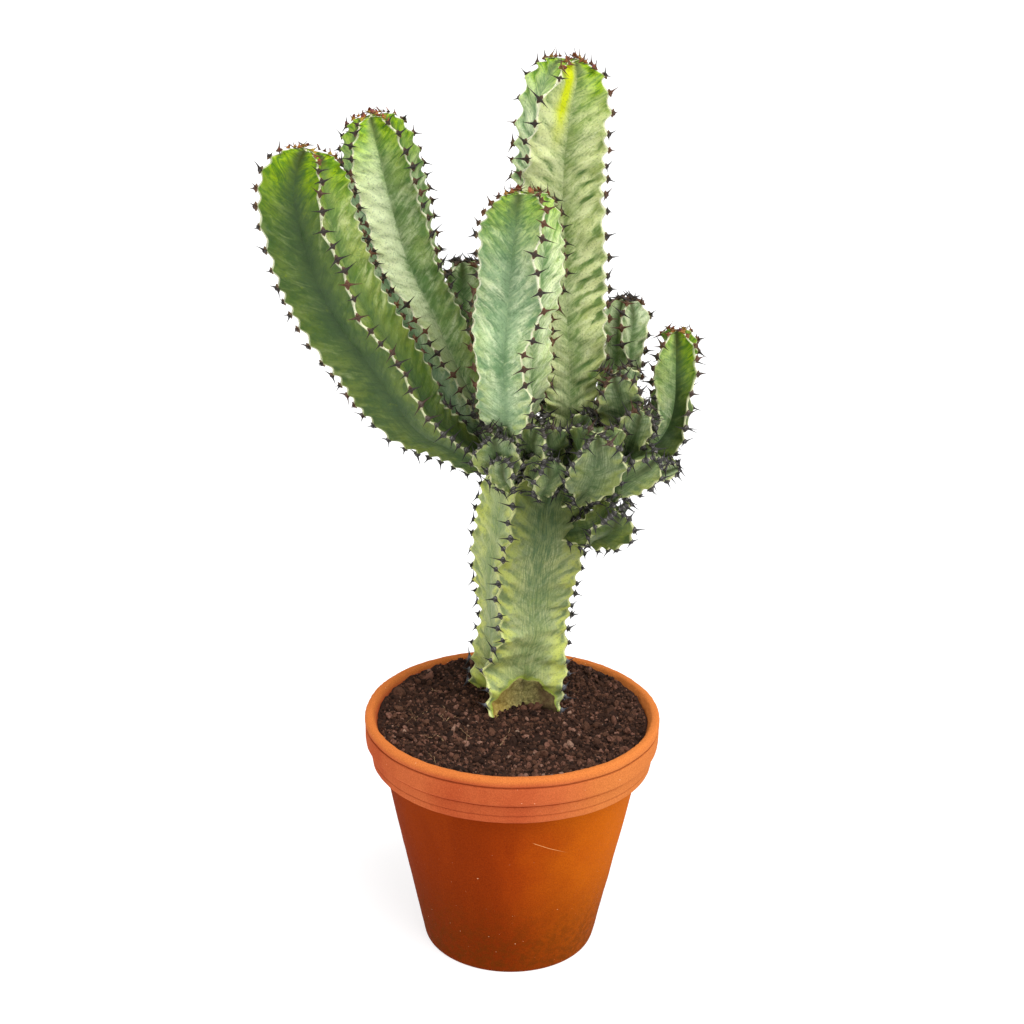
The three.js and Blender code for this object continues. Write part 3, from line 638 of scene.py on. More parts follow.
class Stem:
    """The measures of one stem at any distance s from its seat."""

    def __init__(self, index, spec):
        self.index, self.spec, self.name = index, spec, spec["name"]
        self.count = len(spec["ribs"][0])
        self.pitch = spec.get("pitch", TOOTH_PITCH)
        self.dense, self.distance = catmull_rom(spec["axis"])
        self.length = self.distance[-1]
        self.table = s = np.linspace(0, self.length, 1500)
        steps = np.hypot(np.diff(s), np.diff(self.girth(s)))
        self.runs = run = np.concatenate([[0], np.cumsum(steps)])
        self.run_length = run[-1]
        young = TIP_LENGTH * spec["girth"][-1][1]
        pitch = lerp(TIP_PITCH, self.pitch, smoothstep(run[-1] - run, 0, young))
        self.teeth = np.cumsum(np.concatenate([[0], np.diff(run)]) / pitch)
        self.shift = np.random.default_rng(SEED + index).uniform(0, 1, self.count)

    def frame(self, s):
        """The axis's point at s, the way along it and two directions across it."""
        def at(d):
            return np.stack([np.interp(d, self.distance, part) for part in self.dense.T], -1)

        s = np.clip(s, 0, self.length)
        along = unit(at(np.minimum(s + 0.5, self.length)) - at(np.maximum(s - 0.5, 0)))
        side = np.array(self.spec.get("side", (1, 0, 0)), float)
        right = unit(side - along * (along @ side)[..., None])
        return at(s), along, right, np.cross(along, right)

    def girth(self, s):
        pairs = self.spec["girth"]
        dome = self.spec.get("dome", DOME_REACH) * pairs[-1][1]
        u = np.clip((s - self.length + dome) / dome, 0, 1)
        round_off = np.maximum(APEX_RADIUS, (1 - u**DOME_POWER) ** (1 / DOME_POWER))
        return eased(pairs, s / self.length) * round_off

    def rows_at(self, key, s):
        """Values at s of the stem's rows that are evenly spaced from its seat to its tip."""
        rows = np.array(self.spec[key], float)
        place = np.linspace(0, self.length, len(rows))
        return np.stack([np.interp(s, place, column) for column in rows.T], -1)

    def turns(self, s):
        """Direction of every rib at s, in radians, with the ribs in the last axis."""
        return np.radians(self.rows_at("ribs", s))

    def phase(self, s):
        """How many teeth each rib has had by s: a whole number on a tooth."""
        teeth = np.interp(s, self.table, self.teeth)[..., None]
        drift = 0.22 * np.sin(teeth * 0.9 + self.shift * TAU)
        return teeth + self.shift + np.arange(self.count) * 0.5 + drift

    def edges(self, s):
        """Radius and direction of every rib's edge at s."""
        girth = self.girth(s)[..., None]
        phase = self.phase(s)
        ribs = np.arange(self.count)
        between = np.abs(2 * (phase % 1) - 1)
        notch = np.minimum(self.spec["bite"], 0.16 * girth) * (1 - between**1.7)
        reach = self.rows_at("reach", s) if "reach" in self.spec else 1.0
        slow = np.sin(TAU * np.asarray(s)[..., None] / SWAY_LENGTH + SWAY_STEP * ribs)
        quick = np.sin(math.pi * phase + 2.1 * ribs) * self.spec["ruffle"]
        sway = self.spec.get("sway", SWAY) * slow + quick * smoothstep(girth, 8, 22)
        turn = self.turns(s) + sway / np.maximum(girth, SWAY_LEAST_GIRTH)
        return girth * reach - notch, turn

    def grooves(self, s):
        """Radius and direction of the groove after every rib at s."""
        turns = self.turns(s)
        gap = (np.roll(turns, -1, -1) - turns) % TAU
        depth = eased(self.spec.get("groove", GROOVE_DEPTH), np.asarray(s) / self.length)
        radius = (depth * self.girth(s))[..., None] * np.cos(gap / 2)
        return radius, turns + gap / 2

    def on_edge(self, s, rib, toothed=True):
        """Points of a rib's edge at s, or of the line that it would follow without teeth."""
        origin, _, right, back = self.frame(s)
        radius, turn = self.edges(s)
        flat = polar(radius[:, rib] if toothed else self.girth(s), turn[:, rib])
        return origin + right * flat[:, :1] + back * flat[:, 1:]

    def clearance(self, points):
        """How far points stand outside the stem's body, in the plane of the nearest section."""
        s = np.linspace(0, self.length, 160)
        origin, along, right, back = self.frame(s)
        nearest = ((points[:, None] - origin) ** 2).sum(-1).argmin(1)
        offset = points - origin[nearest]
        x, y, up = ((offset * axis[nearest]).sum(-1) for axis in (right, back, along))
        s_here = s[nearest]
        corners = np.stack([polar(*self.edges(s_here)), polar(*self.grooves(s_here))], 2)
        corners = corners.reshape(len(points), -1, 2)
        away = unit(together(x, y) + 1e-9)

        def cross(p, q):
            return p[:, 0] * q[:, 1] - p[:, 1] * q[:, 0]

        reach = np.full(len(points), 1.0)
        for i in range(corners.shape[1]):
            a, b = corners[:, i], corners[:, (i + 1) % corners.shape[1]]
            inside = (cross(a, away) >= 0) & (cross(away, b) >= 0)
            slant = cross(away, b - a)
            hit = cross(a, b) / np.where(np.abs(slant) < 1e-9, 1e9, slant)
            reach = np.where(inside, hit, reach)
        aside = np.hypot(x, y) - reach
        past = (nearest == len(s) - 1) & (up > 0) | (nearest == 0) & (up < 0)
        return np.where(past, np.maximum(aside, np.abs(up)), aside)


SKIN_ATTRIBUTES = ("flow", "lines", "skin", "wear", "tint", "ends")
EDGE, AGE, CORK = 6, 9, 10      # columns of the skin's numbers, three for each attribute


def skin_of(stem, material):
    """The stem's skin: flanks that run from a rounded edge to a creased groove, with the swells
    that lead to each tooth."""
    rows = max(12, round(stem.run_length / ROW_STEP))
    run = np.linspace(0, stem.run_length, rows)[:, None]
    from_tip = stem.run_length - run
    s = np.interp(run[:, 0], stem.runs, stem.table)
    origin, along, right, back = stem.frame(s)
    (edge_r, edge_a), (groove_r, groove_a) = stem.edges(s), stem.grooves(s)
    edge, groove = polar(edge_r, edge_a), polar(groove_r, groove_a)
    phase, girth = stem.phase(s), stem.girth(s)[:, None]

    def by_face(key):
        value = stem.spec.get(key, 0)
        single = not isinstance(value, tuple) or len(value) != stem.count
        rows = [value] * stem.count if single else value
        return [row if isinstance(row, tuple) else (row, row) for row in rows]

    pale, shade_and_deep_green, warm = by_face("pale"), by_face("shade_and_deep_green"), by_face("warm")
    ridge = stem.spec.get("swell", 1)
    rise = smoothstep(s / stem.length, 0.05, 0.95)[:, None]
    share = (1 - np.cos(math.pi * (np.arange(FLANK_COLUMNS + 1) / FLANK_COLUMNS) ** 0.9)) / 2
    columns, fields = [], []
    for k in range(stem.count):
        flanks = (k, share[:-1]), ((k + 1) % stem.count, share[:0:-1])
        for half, (rib, f) in enumerate(flanks):
            start, end = edge[:, rib, None], groove[:, k, None]
            way = unit(end - start) if half == 0 else unit(start - end)
            out = np.concatenate([way[..., 1:], -way[..., :1]], -1)
            size = np.linalg.norm(end - start, axis=-1)
            from_edge, from_groove = size * f, size * (1 - f)
            for turn, away in ((groove_a[:, k], from_groove / CREASE_EASE),
                               (edge_a[:, rib], from_edge / EDGE_EASE)):
                near = np.exp(-away**2)[..., None]
                out = unit(lerp(out, polar(1.0, turn)[:, None], near))

            # A rounded edge, a slightly hollow flank, the crease in the groove, and the swells
            margin = np.minimum(MARGIN_ROUND, 0.07 * girth + 0.4)
            inward = np.clip(from_edge / margin, 0, 1)
            height = margin * np.sqrt(1 - (1 - inward) ** 2) * (1 - f) ** 1.5
            height -= FLANK_HOLLOW * girth * np.sin(math.pi * f)
            crease = np.minimum(CREASE_DEPTH, 0.03 * girth)
            height -= crease * np.exp(-(from_groove / CREASE_WIDTH) ** 2)
            swell = np.cos(TAU * (phase[:, rib, None] + STREAK_SLOPE * from_edge / stem.pitch))
            swell *= ridge * SWELL_RISE * np.sqrt(f) * smoothstep(girth, 8, 24)
            height += SWELL * swell * (1 - f) ** 2.2
            columns.append(lerp(start, end, f[:, None]) + out * height[..., None])

            striped = stem.spec.get("stripe") == (k, half)
            stripe = striped * np.exp(-(((from_groove - STRIPE_PLACE) / STRIPE_WIDTH) ** 2))
            foot, tip = shade_and_deep_green[k][-2:] if half else shade_and_deep_green[k][:2]
            # The fields below carry the faces' painted shade, painted light where it is below
            # zero, and the swells' painted light on their crests and painted shade beside them
            fields.append(together(
                run - STREAK_SLOPE * from_groove, from_groove + 0.5 * run,
                2 * k + half + 17 * stem.index,
                from_groove, run, k + 9 * stem.index,
                1 - f, from_tip,
                lerp(pale[k][half], pale[k][1 - half], 0.5 * np.exp(-from_groove / 2.5)),
                0, 0, warm[k][0],
                lerp(foot, tip, rise),
                stripe * smoothstep(from_tip, 105, 45) * smoothstep(from_tip, 2, 14),
                swell * (1 - f) ** (3 / ridge),
                stem.spec.get("fresh", 0) * (STRIPE_YOUTH if striped else 1),
                smoothstep(from_edge, RIM_WIDTH, RIM_WIDTH / 3), 0.0))
    section, field = np.concatenate(columns, 1), np.concatenate(fields, 1)
    points = (origin[:, None] + right[:, None] * section[..., :1]
              + back[:, None] * section[..., 1:])

    # The growing point lies a little lower than the ribs round it
    body = eased(stem.spec["girth"], s / stem.length)[:, None]
    closing = np.clip(1 - girth / (0.55 * body), 0, 1)
    points -= (along * 0.16 * stem.girth(stem.length * 0.8) * closing**1.5)[:, None]
    outward = unit(points - origin[:, None] + 1e-6)
    uneven = 0.7 * waves(points, 46, SEED + 3) + 0.35 * waves(points, 15, SEED + 4)
    points += outward * (smoothstep(girth, 6, 26) * uneven)[..., None]
    if stem.name == "trunk":
        field[..., CORK], sunk = trunk_foot(points, field[..., EDGE])
        points -= outward * sunk[..., None]

    cap = lerp(origin[-1], points[-1], 0.55) - 1.2 * along[-1]
    flat = np.vstack([points.reshape(-1, 3), cap, origin[0], origin[-1] - 2.4 * along[-1]])
    field = np.vstack([field.reshape(-1, field.shape[-1]), field[-1], field[0, :1],
                       field[-1, :1]])
    field[:, AGE] = np.maximum(stem.spec.get("age", 0), 0.6 * smoothstep(flat[:, 2], 640, 430))
    attributes = dict(zip(SKIN_ATTRIBUTES, np.split(field, len(SKIN_ATTRIBUTES), 1)))
    faces = closed_faces(rows + 1, section.shape[1])
    mesh = mesh_of(stem.name + "_skin", flat, faces, attributes)
    piece(mesh, material, (stem.name,))


def trunk_foot(points, edge):
    """How corky each point of the trunk is near the soil, and how far its faces sink there."""
    z = points[..., 2]
    front = smoothstep(points[..., 1], 34, 10)
    arch = SOIL_LEVEL + 34 - 26 * edge**2
    cork = smoothstep(z, arch + 9, arch - 9) * smoothstep(edge, 0.97, 0.8) * lerp(0.35, 1, front)
    sunk = 5.0 * smoothstep(z, arch + 12, arch - 16) * smoothstep(edge, 0.95, 0.45)
    return cork, sunk


# ---- Spines and young leaves

SPINE_LENGTH = 10.2
SPINE_ANGLE = 72           # of each spine from the straight-out direction, in degrees
SPINE_RADIUS = 0.66        # of its slim part, over its widened root
SPINE_POINT = 0.08
SPINE_ROOT = 1.5           # how much wider it gets at the root
SHIELD = (2.0, 3.8, 1.5)   # half sizes of the horny plate under a pair: wide, long, high
OLD_SHIELD = (2.7, 3.6, 1.1)
SPINE_OVER_SOIL = 2
SPINE_OVER_SEAT = 8        # least distance of a pair from the stem's seat
GREY_SPANS = ((570, 480), (320, 240))      # heights between which spines turn grey, then pale
YOUNG_SPAN = (26, 6)       # distances from the tip between which they turn young
LEAF_SPAN = 24             # distance from the tip within which teeth have leaves
LEAF_LENGTH = 4.6


def spine_material():
    """Horny brown spines, red and yellow while they are young and grey when old. "thorn" holds
    the place from the plate's rim (-1) by the root (0) to the point (1), the youth and the
    greyness; "chance" is a random number for each pair."""
    n = Nodes("spine_horn")
    place, youth, grey = n.parts(n.attribute("thorn"))
    chance = n.attribute("chance", "Fac")
    grain = n.noise(n.place(), 900)
    point = place * 0.5 + 0.5
    brown = n.ramp(point, (0, "7c6844"), (0.2, "523a20"), (0.45, "3d2917"), (0.56, "251a10"),
                   (1, "130f0b"))
    rust = n.mix(n.step(chance, 0.5, 1, 0, 0.5), brown, "7a431a")
    old = n.ramp(point, (0, "2c2824"), (0.18, "474440"), (0.36, "8d8b86"), (0.5, "46433f"),
                 (0.6, "1e1b19"), (1, "0e0c0b"))
    oldest = n.ramp(point, (0, "55565c"), (0.4, "a9acb6"), (0.5, "5d5e66"), (0.65, "2c2c30"),
                    (1, "1a191a"))
    horn = n.mix(n.step(grey, 1, 2), n.mix(n.step(grey, 0, 1), rust, old), oldest)
    tinged = n.ramp(chance, (0, "4e2a1c"), (0.3, "8f4a24"), (0.6, "c27c22"), (0.85, "d8b42a"),
                    (1, "7c3340"))
    colour = n.mix(youth, horn, n.mix(n.step(place, 0.1, 0.7), tinged, "2c1812"))
    colour = n.mix(n.step(grain, 0.4, 0.65, 0, 0.35), colour, "1d1614", "MULTIPLY")
    return n.surface(Base_Color=colour, Roughness=n.step(grain, 0.3, 0.7, 0.5, 0.72),
                     Normal=n.bump(grain, 0.0002, 0.6))


def leaf_material():
    """Red young leaves. "blade" holds the place from foot (0) to point (1) and a random number."""
    n = Nodes("young_leaf")
    place, chance, _ = n.parts(n.attribute("blade"))
    colour = n.ramp(place, (0, "a3a63c"), (0.4, "8c3f26"), (1, "551a26"))
    colour = n.mix(n.step(chance, 0.5, 1, 0, 0.5), colour, "b4642a")
    veins = n.noise(n.place(), 1400)
    return n.surface(Base_Color=colour, Roughness=0.5, Normal=n.bump(veins, 0.0001, 0.4))


def teeth_of(stem):
    """Place and directions of every tooth of a stem: its root, the way along the edge, the way
    out and the way across, and its distance from the tip."""
    s = np.linspace(0, stem.length, 4000)
    phase = stem.phase(s)
    found = []
    for k in range(stem.count):
        whole = np.arange(math.ceil(phase[0, k]), math.floor(phase[-1, k]) + 1)
        at = np.interp(whole, phase[:, k], s)
        root = stem.on_edge(at, k)
        before, after = np.maximum(at - 1.5, 0), np.minimum(at + 1.5, stem.length)
        run = unit(stem.on_edge(after, k, False) - stem.on_edge(before, k, False))
        out = root - stem.frame(at)[0]
        out = unit(out - run * (out * run).sum(-1, keepdims=True))
        from_tip = stem.run_length - np.interp(at, stem.table, stem.runs)
        found.append((root, run, out, np.cross(run, out), from_tip))
    return [np.concatenate(parts) for parts in zip(*found)]


def shield_template():
    """Points and faces of a low, tear-shaped plate, in units of its half sizes."""
    around, rings = 10, 5
    tilt = math.pi * np.arange(1, rings + 1)[:, None] / (rings + 1)
    points = polar(np.sin(tilt), turns(around), -np.cos(tilt))[..., [0, 2, 1]]
    points = np.vstack([points.reshape(-1, 3), [0, -1, 0], [0, 1, 0]])
    points[:, 0] *= 1 - 0.6 * points[:, 1] ** 2
    points[:, 2] *= 1 - 0.4 * points[:, 1] ** 2
    return points, [faces[:, ::-1] for faces in closed_faces(rings, around)]


def spines_of(stem, stems, material):
    """The pairs of spines of a stem, with the plate under each pair."""
    rng = np.random.default_rng(SEED + 50 + stem.index)
    root, run, out, across, from_tip = teeth_of(stem)
    free = root[:, 2] > soil_height(root[:, 0], root[:, 1]) + SPINE_OVER_SOIL
    free &= stem.run_length - from_tip > SPINE_OVER_SEAT
    for other in stems:
        if other is not stem:
            free &= other.clearance(root + out * 2) > 0.5
    root, run, out, across, from_tip = (a[free] for a in (root, run, out, across, from_tip))
    count = len(root)
    youth = smoothstep(from_tip, *YOUNG_SPAN) * rng.uniform(0.7, 1, count)
    youth *= stem.spec.get("fresh", 0)
    height = root[:, 2] + rng.normal(0, 14, count)
    grey = sum(smoothstep(height, *span) for span in GREY_SPANS)
    worn = np.clip(grey, 0, 1)
    size = rng.uniform(0.85, 1.18, count)
    chance = rng.uniform(0, 1, count)

    # Each body: its points, the place from rim to point of each one, and its faces
    plate, plate_faces = shield_template()
    scale = lerp(np.array(SHIELD), np.array(OLD_SHIELD), worn[:, None]) * (
        lerp(1, 0.45, youth) * lerp(1, 0.8, np.clip(grey - 1, 0, 1)) * size)[:, None]
    local = plate * scale[:, None] - [0, 0, 0.1]
    ringed = -np.minimum(np.hypot(plate[:, 0], plate[:, 1]), 1) ** 2
    bodies = [(root[:, None] + turned(local, across, run, out), ringed, plate_faces)]
    sides, rings = 7, 8
    for side in (-1, 1):
        angle = np.radians(SPINE_ANGLE + rng.normal(0, 7, count))
        climb = rng.normal(0.1, 0.16, count)
        way = unit(out * np.cos(angle)[:, None] + across * (side * np.sin(angle))[:, None]
                   + run * climb[:, None])
        length = SPINE_LENGTH * size * rng.uniform(0.85, 1.12, count) * lerp(1, 0.65, youth)
        curl = unit(rng.normal(size=(count, 3))) * lerp(0.09, 0.3, youth)[:, None] + out * 0.05
        u_axis = unit(np.cross(way, run))
        u = np.linspace(0, 1, rings) ** 1.4
        start = root + out * 0.3 + across * side * 0.2
        centre = (start[:, None] + way[:, None] * (length[:, None] * u)[..., None]
                  + curl[:, None] * (length[:, None] * u**2)[..., None])
        slim = SPINE_RADIUS * (1 - u) + SPINE_ROOT * np.exp(-5 * u) * (1 - u) + SPINE_POINT
        radius = slim * (size * lerp(1, 0.42, youth) * lerp(1, 0.95, worn))[:, None]
        around = circle(u_axis, np.cross(way, u_axis), sides)[:, None]
        points = centre[:, :, None] + around * radius[..., None, None]
        tips = centre[:, -1] + way * 0.35
        points = np.concatenate([points.reshape(count, -1, 3), tips[:, None]], 1)
        cap = fan((rings - 1) * sides + np.arange(sides), rings * sides, True)
        bodies.append((points, np.append(np.repeat(u, sides), 1.0),
                       (ring_quads(rings, sides), cap)))

    everything, fields, chances, faces, base = [], [], [], [], 0
    for points, place, parts in bodies:
        per = points.shape[1]
        everything.append(points.reshape(-1, 3))
        fields.append(together(place, youth[:, None], grey[:, None]).reshape(-1, 3))
        chances.append(np.repeat(chance, per))
        faces += [repeated(part, count, per) + base for part in parts]
        base += per * count
    piece(mesh_of(stem.name + "_spines", np.vstack(everything), faces, {
        "thorn": np.vstack(fields), "chance": np.concatenate(chances)}), material)


def leaves_of(stem, material):
    """Tiny red leaves on the youngest teeth round the growing point."""
    rng = np.random.default_rng(SEED + 90 + stem.index)
    root, run, out, across, from_tip = teeth_of(stem)
    near = (from_tip < LEAF_SPAN) & (rng.uniform(0, 1, len(root)) < 0.6)
    root, run, out, across = (a[near] for a in (root, run, out, across))
    count = len(root)
    rows, columns = 7, 5
    u = np.linspace(0, 1, rows)[:, None]
    v = np.linspace(-1, 1, columns)
    width = 0.34 * np.sin(math.pi * u**0.8) + 0.05
    blade = together(v * width, u, 0.22 * u**2 + 0.25 * np.abs(v) * width).reshape(-1, 3)
    length = LEAF_LENGTH * rng.uniform(0.6, 1.15, count) * min(1.0, stem.spec["girth"][-1][1] / 30)
    lean = rng.normal(0, 0.5, count)
    up = unit(out + run * 0.5 + across * lean[:, None])
    side = unit(np.cross(up, run) + 1e-6)
    over = np.cross(side, up)
    points = (root + out * 0.2)[:, None] + turned(blade * length[:, None, None], side, up, over)
    under = points - over[:, None] * 0.3

    per = rows * columns
    grid = np.arange(per).reshape(rows, columns)
    quads = np.stack([grid[:-1, :-1], grid[:-1, 1:], grid[1:, 1:], grid[1:, :-1]], -1)
    quads = quads.reshape(-1, 4)
    border = np.concatenate([grid[0], grid[1:, -1], grid[-1, -2::-1], grid[-2:0:-1, 0]])
    after = np.roll(border, -1)
    wall = np.stack([after, border, border + per, after + per], -1)
    faces = repeated(np.concatenate([quads, quads[:, ::-1] + per, wall]), count, 2 * per)
    place = np.tile(np.repeat(u[:, 0], columns), 2)
    field = together(place, rng.uniform(0, 1, count)[:, None], 0.0).reshape(-1, 3)
    both = np.concatenate([points, under], 1).reshape(-1, 3)
    piece(mesh_of(stem.name + "_leaves", both, [faces], {"blade": field}), material)


# ---- Pot

# Ends of a pale scratch on the front of the wall, as pairs of x and z
SCRATCH = ((19, 154.4), (53, 135.6))


def clay_material():
    """Fired clay: rosier on the bands, more orange below, with stains, specks and a scratch, and
    with painted light on the right and along the top of the rim and painted shade on the left, low
    down, under the band and in its grooves.
    """
    n = Nodes("fired_clay")
    place = n.place()
    x, y, z = n.parts(place)
    stains = n.noise(n.join(x * 16, y * 16, z * 4), 1, 4, 0.6)
    # How far to the right a point lies, made uneven, which places painted light and shade across
    # the pot
    sideways = n.noise(place, 11) * 0.09 + x - 0.045
    band_foot = LOWER_BAND_BOTTOM * MM
    wall = n.mix(n.step(stains, 0.35, 0.66), "963706", "a84208")
    # Painted shade on the left of the wall and painted light on its right
    wall = n.mix(n.step(sideways, -0.07, 0.03, 0.5, 0), wall, "7d2c06")
    wall = n.mix(n.step(sideways, 0, 0.1), wall, "cf6a0a")
    # Painted shade, darker towards the bottom
    wall = n.mix(n.step(z, 0.01, 0.14, 0.6, 0), wall, "6f2a00")
    grime = n.step(n.noise(place, 150, 6, 0.75), 0.42, 0.6)
    wall = n.mix(grime * n.step(z, 0.01, 0.1, 0.45, 0), wall, "5c3404")
    # Painted shadow just under the overhang of the band
    wall = n.mix(n.step(z, band_foot - 0.007, band_foot - 0.001, 0, 0.6), wall, "5e1f02")
    band = n.mix(n.step(stains, 0.3, 0.7), "bd5630", "cf6c3e")
    # Painted light on the right of the bands
    band = n.mix(n.step(sideways, 0.02, 0.1, 0, 0.75), band, "e08a46")
    # Painted shade in the groove under the rolled rim and in the line round the lower band
    for height, share in ((LIP_GROOVE, 0.5), (BAND_LINE, 0.25)):
        off = n.maths("ABSOLUTE", z - height * MM)
        band = n.mix(n.step(off, 0.0002, 0.0014, share, 0), band, "7c2f14")
    banded = n.step(z, band_foot - 0.001, band_foot + 0.001)
    colour = n.mix(banded, wall, band)
    # Painted highlight along the top of the rolled rim
    lip = n.step(z, (POT_HEIGHT - 8) * MM, (POT_HEIGHT - 2) * MM, 0, 0.75)
    colour = n.mix(lip, colour, "e88a44")
    grain = n.noise(place, 900, 4, 0.7)
    colour = n.mix(n.step(grain, 0.3, 0.7, 0, 0.35), colour, "8c3f1c", "MULTIPLY")
    colour = n.mix(n.step(n.noise(place, 420, 1), 0.79, 0.82, 0, 0.7), colour, "efc59a")

    (x0, z0), (x1, z1) = SCRATCH
    slope = (z1 - z0) / (x1 - x0)
    off = n.maths("ABSOLUTE", z - x * slope - (z0 - slope * x0) * MM)
    scratched = n.step(off, 0.0001, 0.0005, 1, 0) * n.step(y, -0.05, -0.04, 1, 0)
    scratched *= n.step(x, x0 * MM, (x0 + 3) * MM) * n.step(x, (x1 - 20) * MM, x1 * MM, 1, 0)
    scratched *= n.step(grain, 0.3, 0.55, 0.3, 0.9)
    colour = n.mix(scratched, colour, "f0b070")
    normal = n.bump(n.noise(n.join(x * 2, y * 2, z * 520)), 0.0005, 0.5)
    return n.surface(Base_Color=colour, Roughness=n.step(banded, 0, 1, 0.8, 0.88),
                     Normal=n.bump(grain, 0.0004, 0.8, normal), Specular_IOR_Level=0.03)


def rounded_profile(corners):
    """A polyline of (radius, height) whose corners (radius, height, rounding) are rounded."""
    p = np.array([c[:2] for c in corners], float)
    line = [p[0]]
    for i in range(1, len(p) - 1):
        if len(corners[i]) < 3:
            line.append(p[i])
            continue
        before, after = p[i - 1] - p[i], p[i + 1] - p[i]
        reach = min(corners[i][2], 0.48 * np.linalg.norm(before), 0.48 * np.linalg.norm(after))
        a, b = p[i] + unit(before) * reach, p[i] + unit(after) * reach
        for t in np.linspace(0, 1, 7):
            line.append((1 - t) ** 2 * a + 2 * t * (1 - t) * p[i] + t**2 * b)
    line.append(p[-1])
    dense = [line[0]]
    for a, b in zip(line, line[1:]):
        parts = max(1, math.ceil(np.linalg.norm(b - a) / 9))
        dense += [lerp(a, b, t) for t in np.linspace(0, 1, parts + 1)[1:]]
    return np.array(dense)


def make_pot():
    rim, band = POT_RIM_RADIUS, LOWER_BAND_RADIUS
    profile = rounded_profile([
        (0.5, 0), (POT_BASE_RADIUS - 1, 0, 4), (POT_BASE_RADIUS + 0.4, 3, 3),
        (POT_NECK_RADIUS, LOWER_BAND_BOTTOM, 2), (band - 1, LOWER_BAND_BOTTOM + 0.5, 2.5),
        (band - 0.3, BAND_LINE - 0.6, 0.6), (band - 0.8, BAND_LINE, 0.4),
        (band, BAND_LINE + 0.8, 0.6), (band + 1.2, UPPER_BAND_BOTTOM - 1.2, 0.7),
        (band - 1.2, UPPER_BAND_BOTTOM - 0.6, 0.3), (rim - 3.2, UPPER_BAND_BOTTOM, 0.6),
        (rim - 0.6, UPPER_BAND_BOTTOM + 2.2, 2), (rim - 0.4, LIP_GROOVE - 1, 1),
        (rim - 1.9, LIP_GROOVE, 0.7), (rim, LIP_GROOVE + 1.6, 1.5),
        (rim - 0.5, POT_HEIGHT - 0.3, 4), (POT_LIP_INNER_RADIUS + 3, POT_HEIGHT, 5),
        (POT_LIP_INNER_RADIUS - 1, POT_HEIGHT - 9, 4),
        (inner_wall(UPPER_BAND_BOTTOM + 4), UPPER_BAND_BOTTOM + 4),
        (inner_wall(LOWER_BAND_BOTTOM), LOWER_BAND_BOTTOM),
        (inner_wall(POT_FLOOR_THICKNESS), POT_FLOOR_THICKNESS, 6), (0.5, POT_FLOOR_THICKNESS),
    ])
    turn = turns(POT_SIDES)
    radius, z = profile.T[..., None]
    base = polar(radius, turn, z)
    uneven = 0.25 * waves(base, 60, SEED + 7) + 0.1 * waves(base, 14, SEED + 8)
    uneven += smoothstep(z, POT_HEIGHT - 12, POT_HEIGHT) * 0.25 * waves(base, 6, SEED + 9)
    radius = radius + uneven * smoothstep(radius, 30, 60) * smoothstep(z, 0, 10)
    points = polar(radius, turn, z).reshape(-1, 3)
    flat = np.vstack([points, [0, 0, 0], [0, 0, POT_FLOOR_THICKNESS]])
    blank = mesh_of("pot_blank", flat, closed_faces(len(profile), POT_SIDES))
    solid = linked("pot_blank", blank)
    cutters = []
    for i in range(DRAIN_HOLE_COUNT):
        angle = math.radians(90 + 360 / DRAIN_HOLE_COUNT * i)
        mesh = bpy.data.meshes.new("hole")
        shape = bmesh.new()
        bmesh.ops.create_cone(
            shape, cap_ends=True, segments=40, radius1=DRAIN_HOLE_RADIUS * MM,
            radius2=DRAIN_HOLE_RADIUS * MM, depth=4 * POT_FLOOR_THICKNESS * MM,
            matrix=Matrix.Translation((DRAIN_HOLE_CIRCLE * math.cos(angle) * MM,
                                       DRAIN_HOLE_CIRCLE * math.sin(angle) * MM, 0)))
        shape.to_mesh(mesh)
        shape.free()
        cutters.append(linked("hole", mesh))
        cut = solid.modifiers.new("hole", "BOOLEAN")
        cut.operation, cut.object, cut.solver = "DIFFERENCE", cutters[-1], "EXACT"
    depsgraph = bpy.context.evaluated_depsgraph_get()
    mesh = bpy.data.meshes.new_from_object(solid.evaluated_get(depsgraph))
    for spare in (*cutters, solid):
        bpy.data.objects.remove(spare)
    mesh.name = "pot_clay"
    mesh.materials.clear()
    mesh.set_sharp_from_angle(angle=math.radians(50))
    piece(mesh, clay_material(), ("pot",))


# ---- Soil

# Loose crumbs: name, how often their ball is subdivided, count, least and greatest size, how far
# out they lie over the soil's radius, and seed
CRUMBS = (
    ("soil_crumbs", 1, 9500, 0.7, 1.6, 0.994, 21),
    ("soil_grains", 2, 2450, 1.3, 2.8, 0.985, 22),
    ("soil_pebbles", 2, 300, 2.2, 4.4, 0.965, 23),
)
FIBRE_COUNT = 13
FIBRES_ON_LEFT = 9


def soil_material():
    """Dark, damp potting soil; "tone" is a random number for each crumb."""
    n = Nodes("potting_soil")
    grain = n.noise(n.place(), 700, 5, 0.7)
    colour = n.ramp(n.attribute("tone", "Fac"), (0, "1e130e"), (0.3, "432b20"), (0.55, "664534"),
                    (0.78, "835949"), (0.93, "9c7462"), (1, "b4947e"))
    colour = n.mix(n.step(grain, 0.35, 0.7, 0, 0.6), colour, "33211a")
    return n.surface(Base_Color=colour, Roughness=0.92, Specular_IOR_Level=0.2,
                     Normal=n.bump(grain, 0.0012, 0.9))


def bed_height(x, y):
    """Height of the bare soil between the crumbs."""
    p = together(x, y, 0.0)
    return (soil_height(x, y) + 0.9 * waves(p, 9, SEED + 11) + 0.5 * waves(p, 3.6, SEED + 12)
            - 0.8)


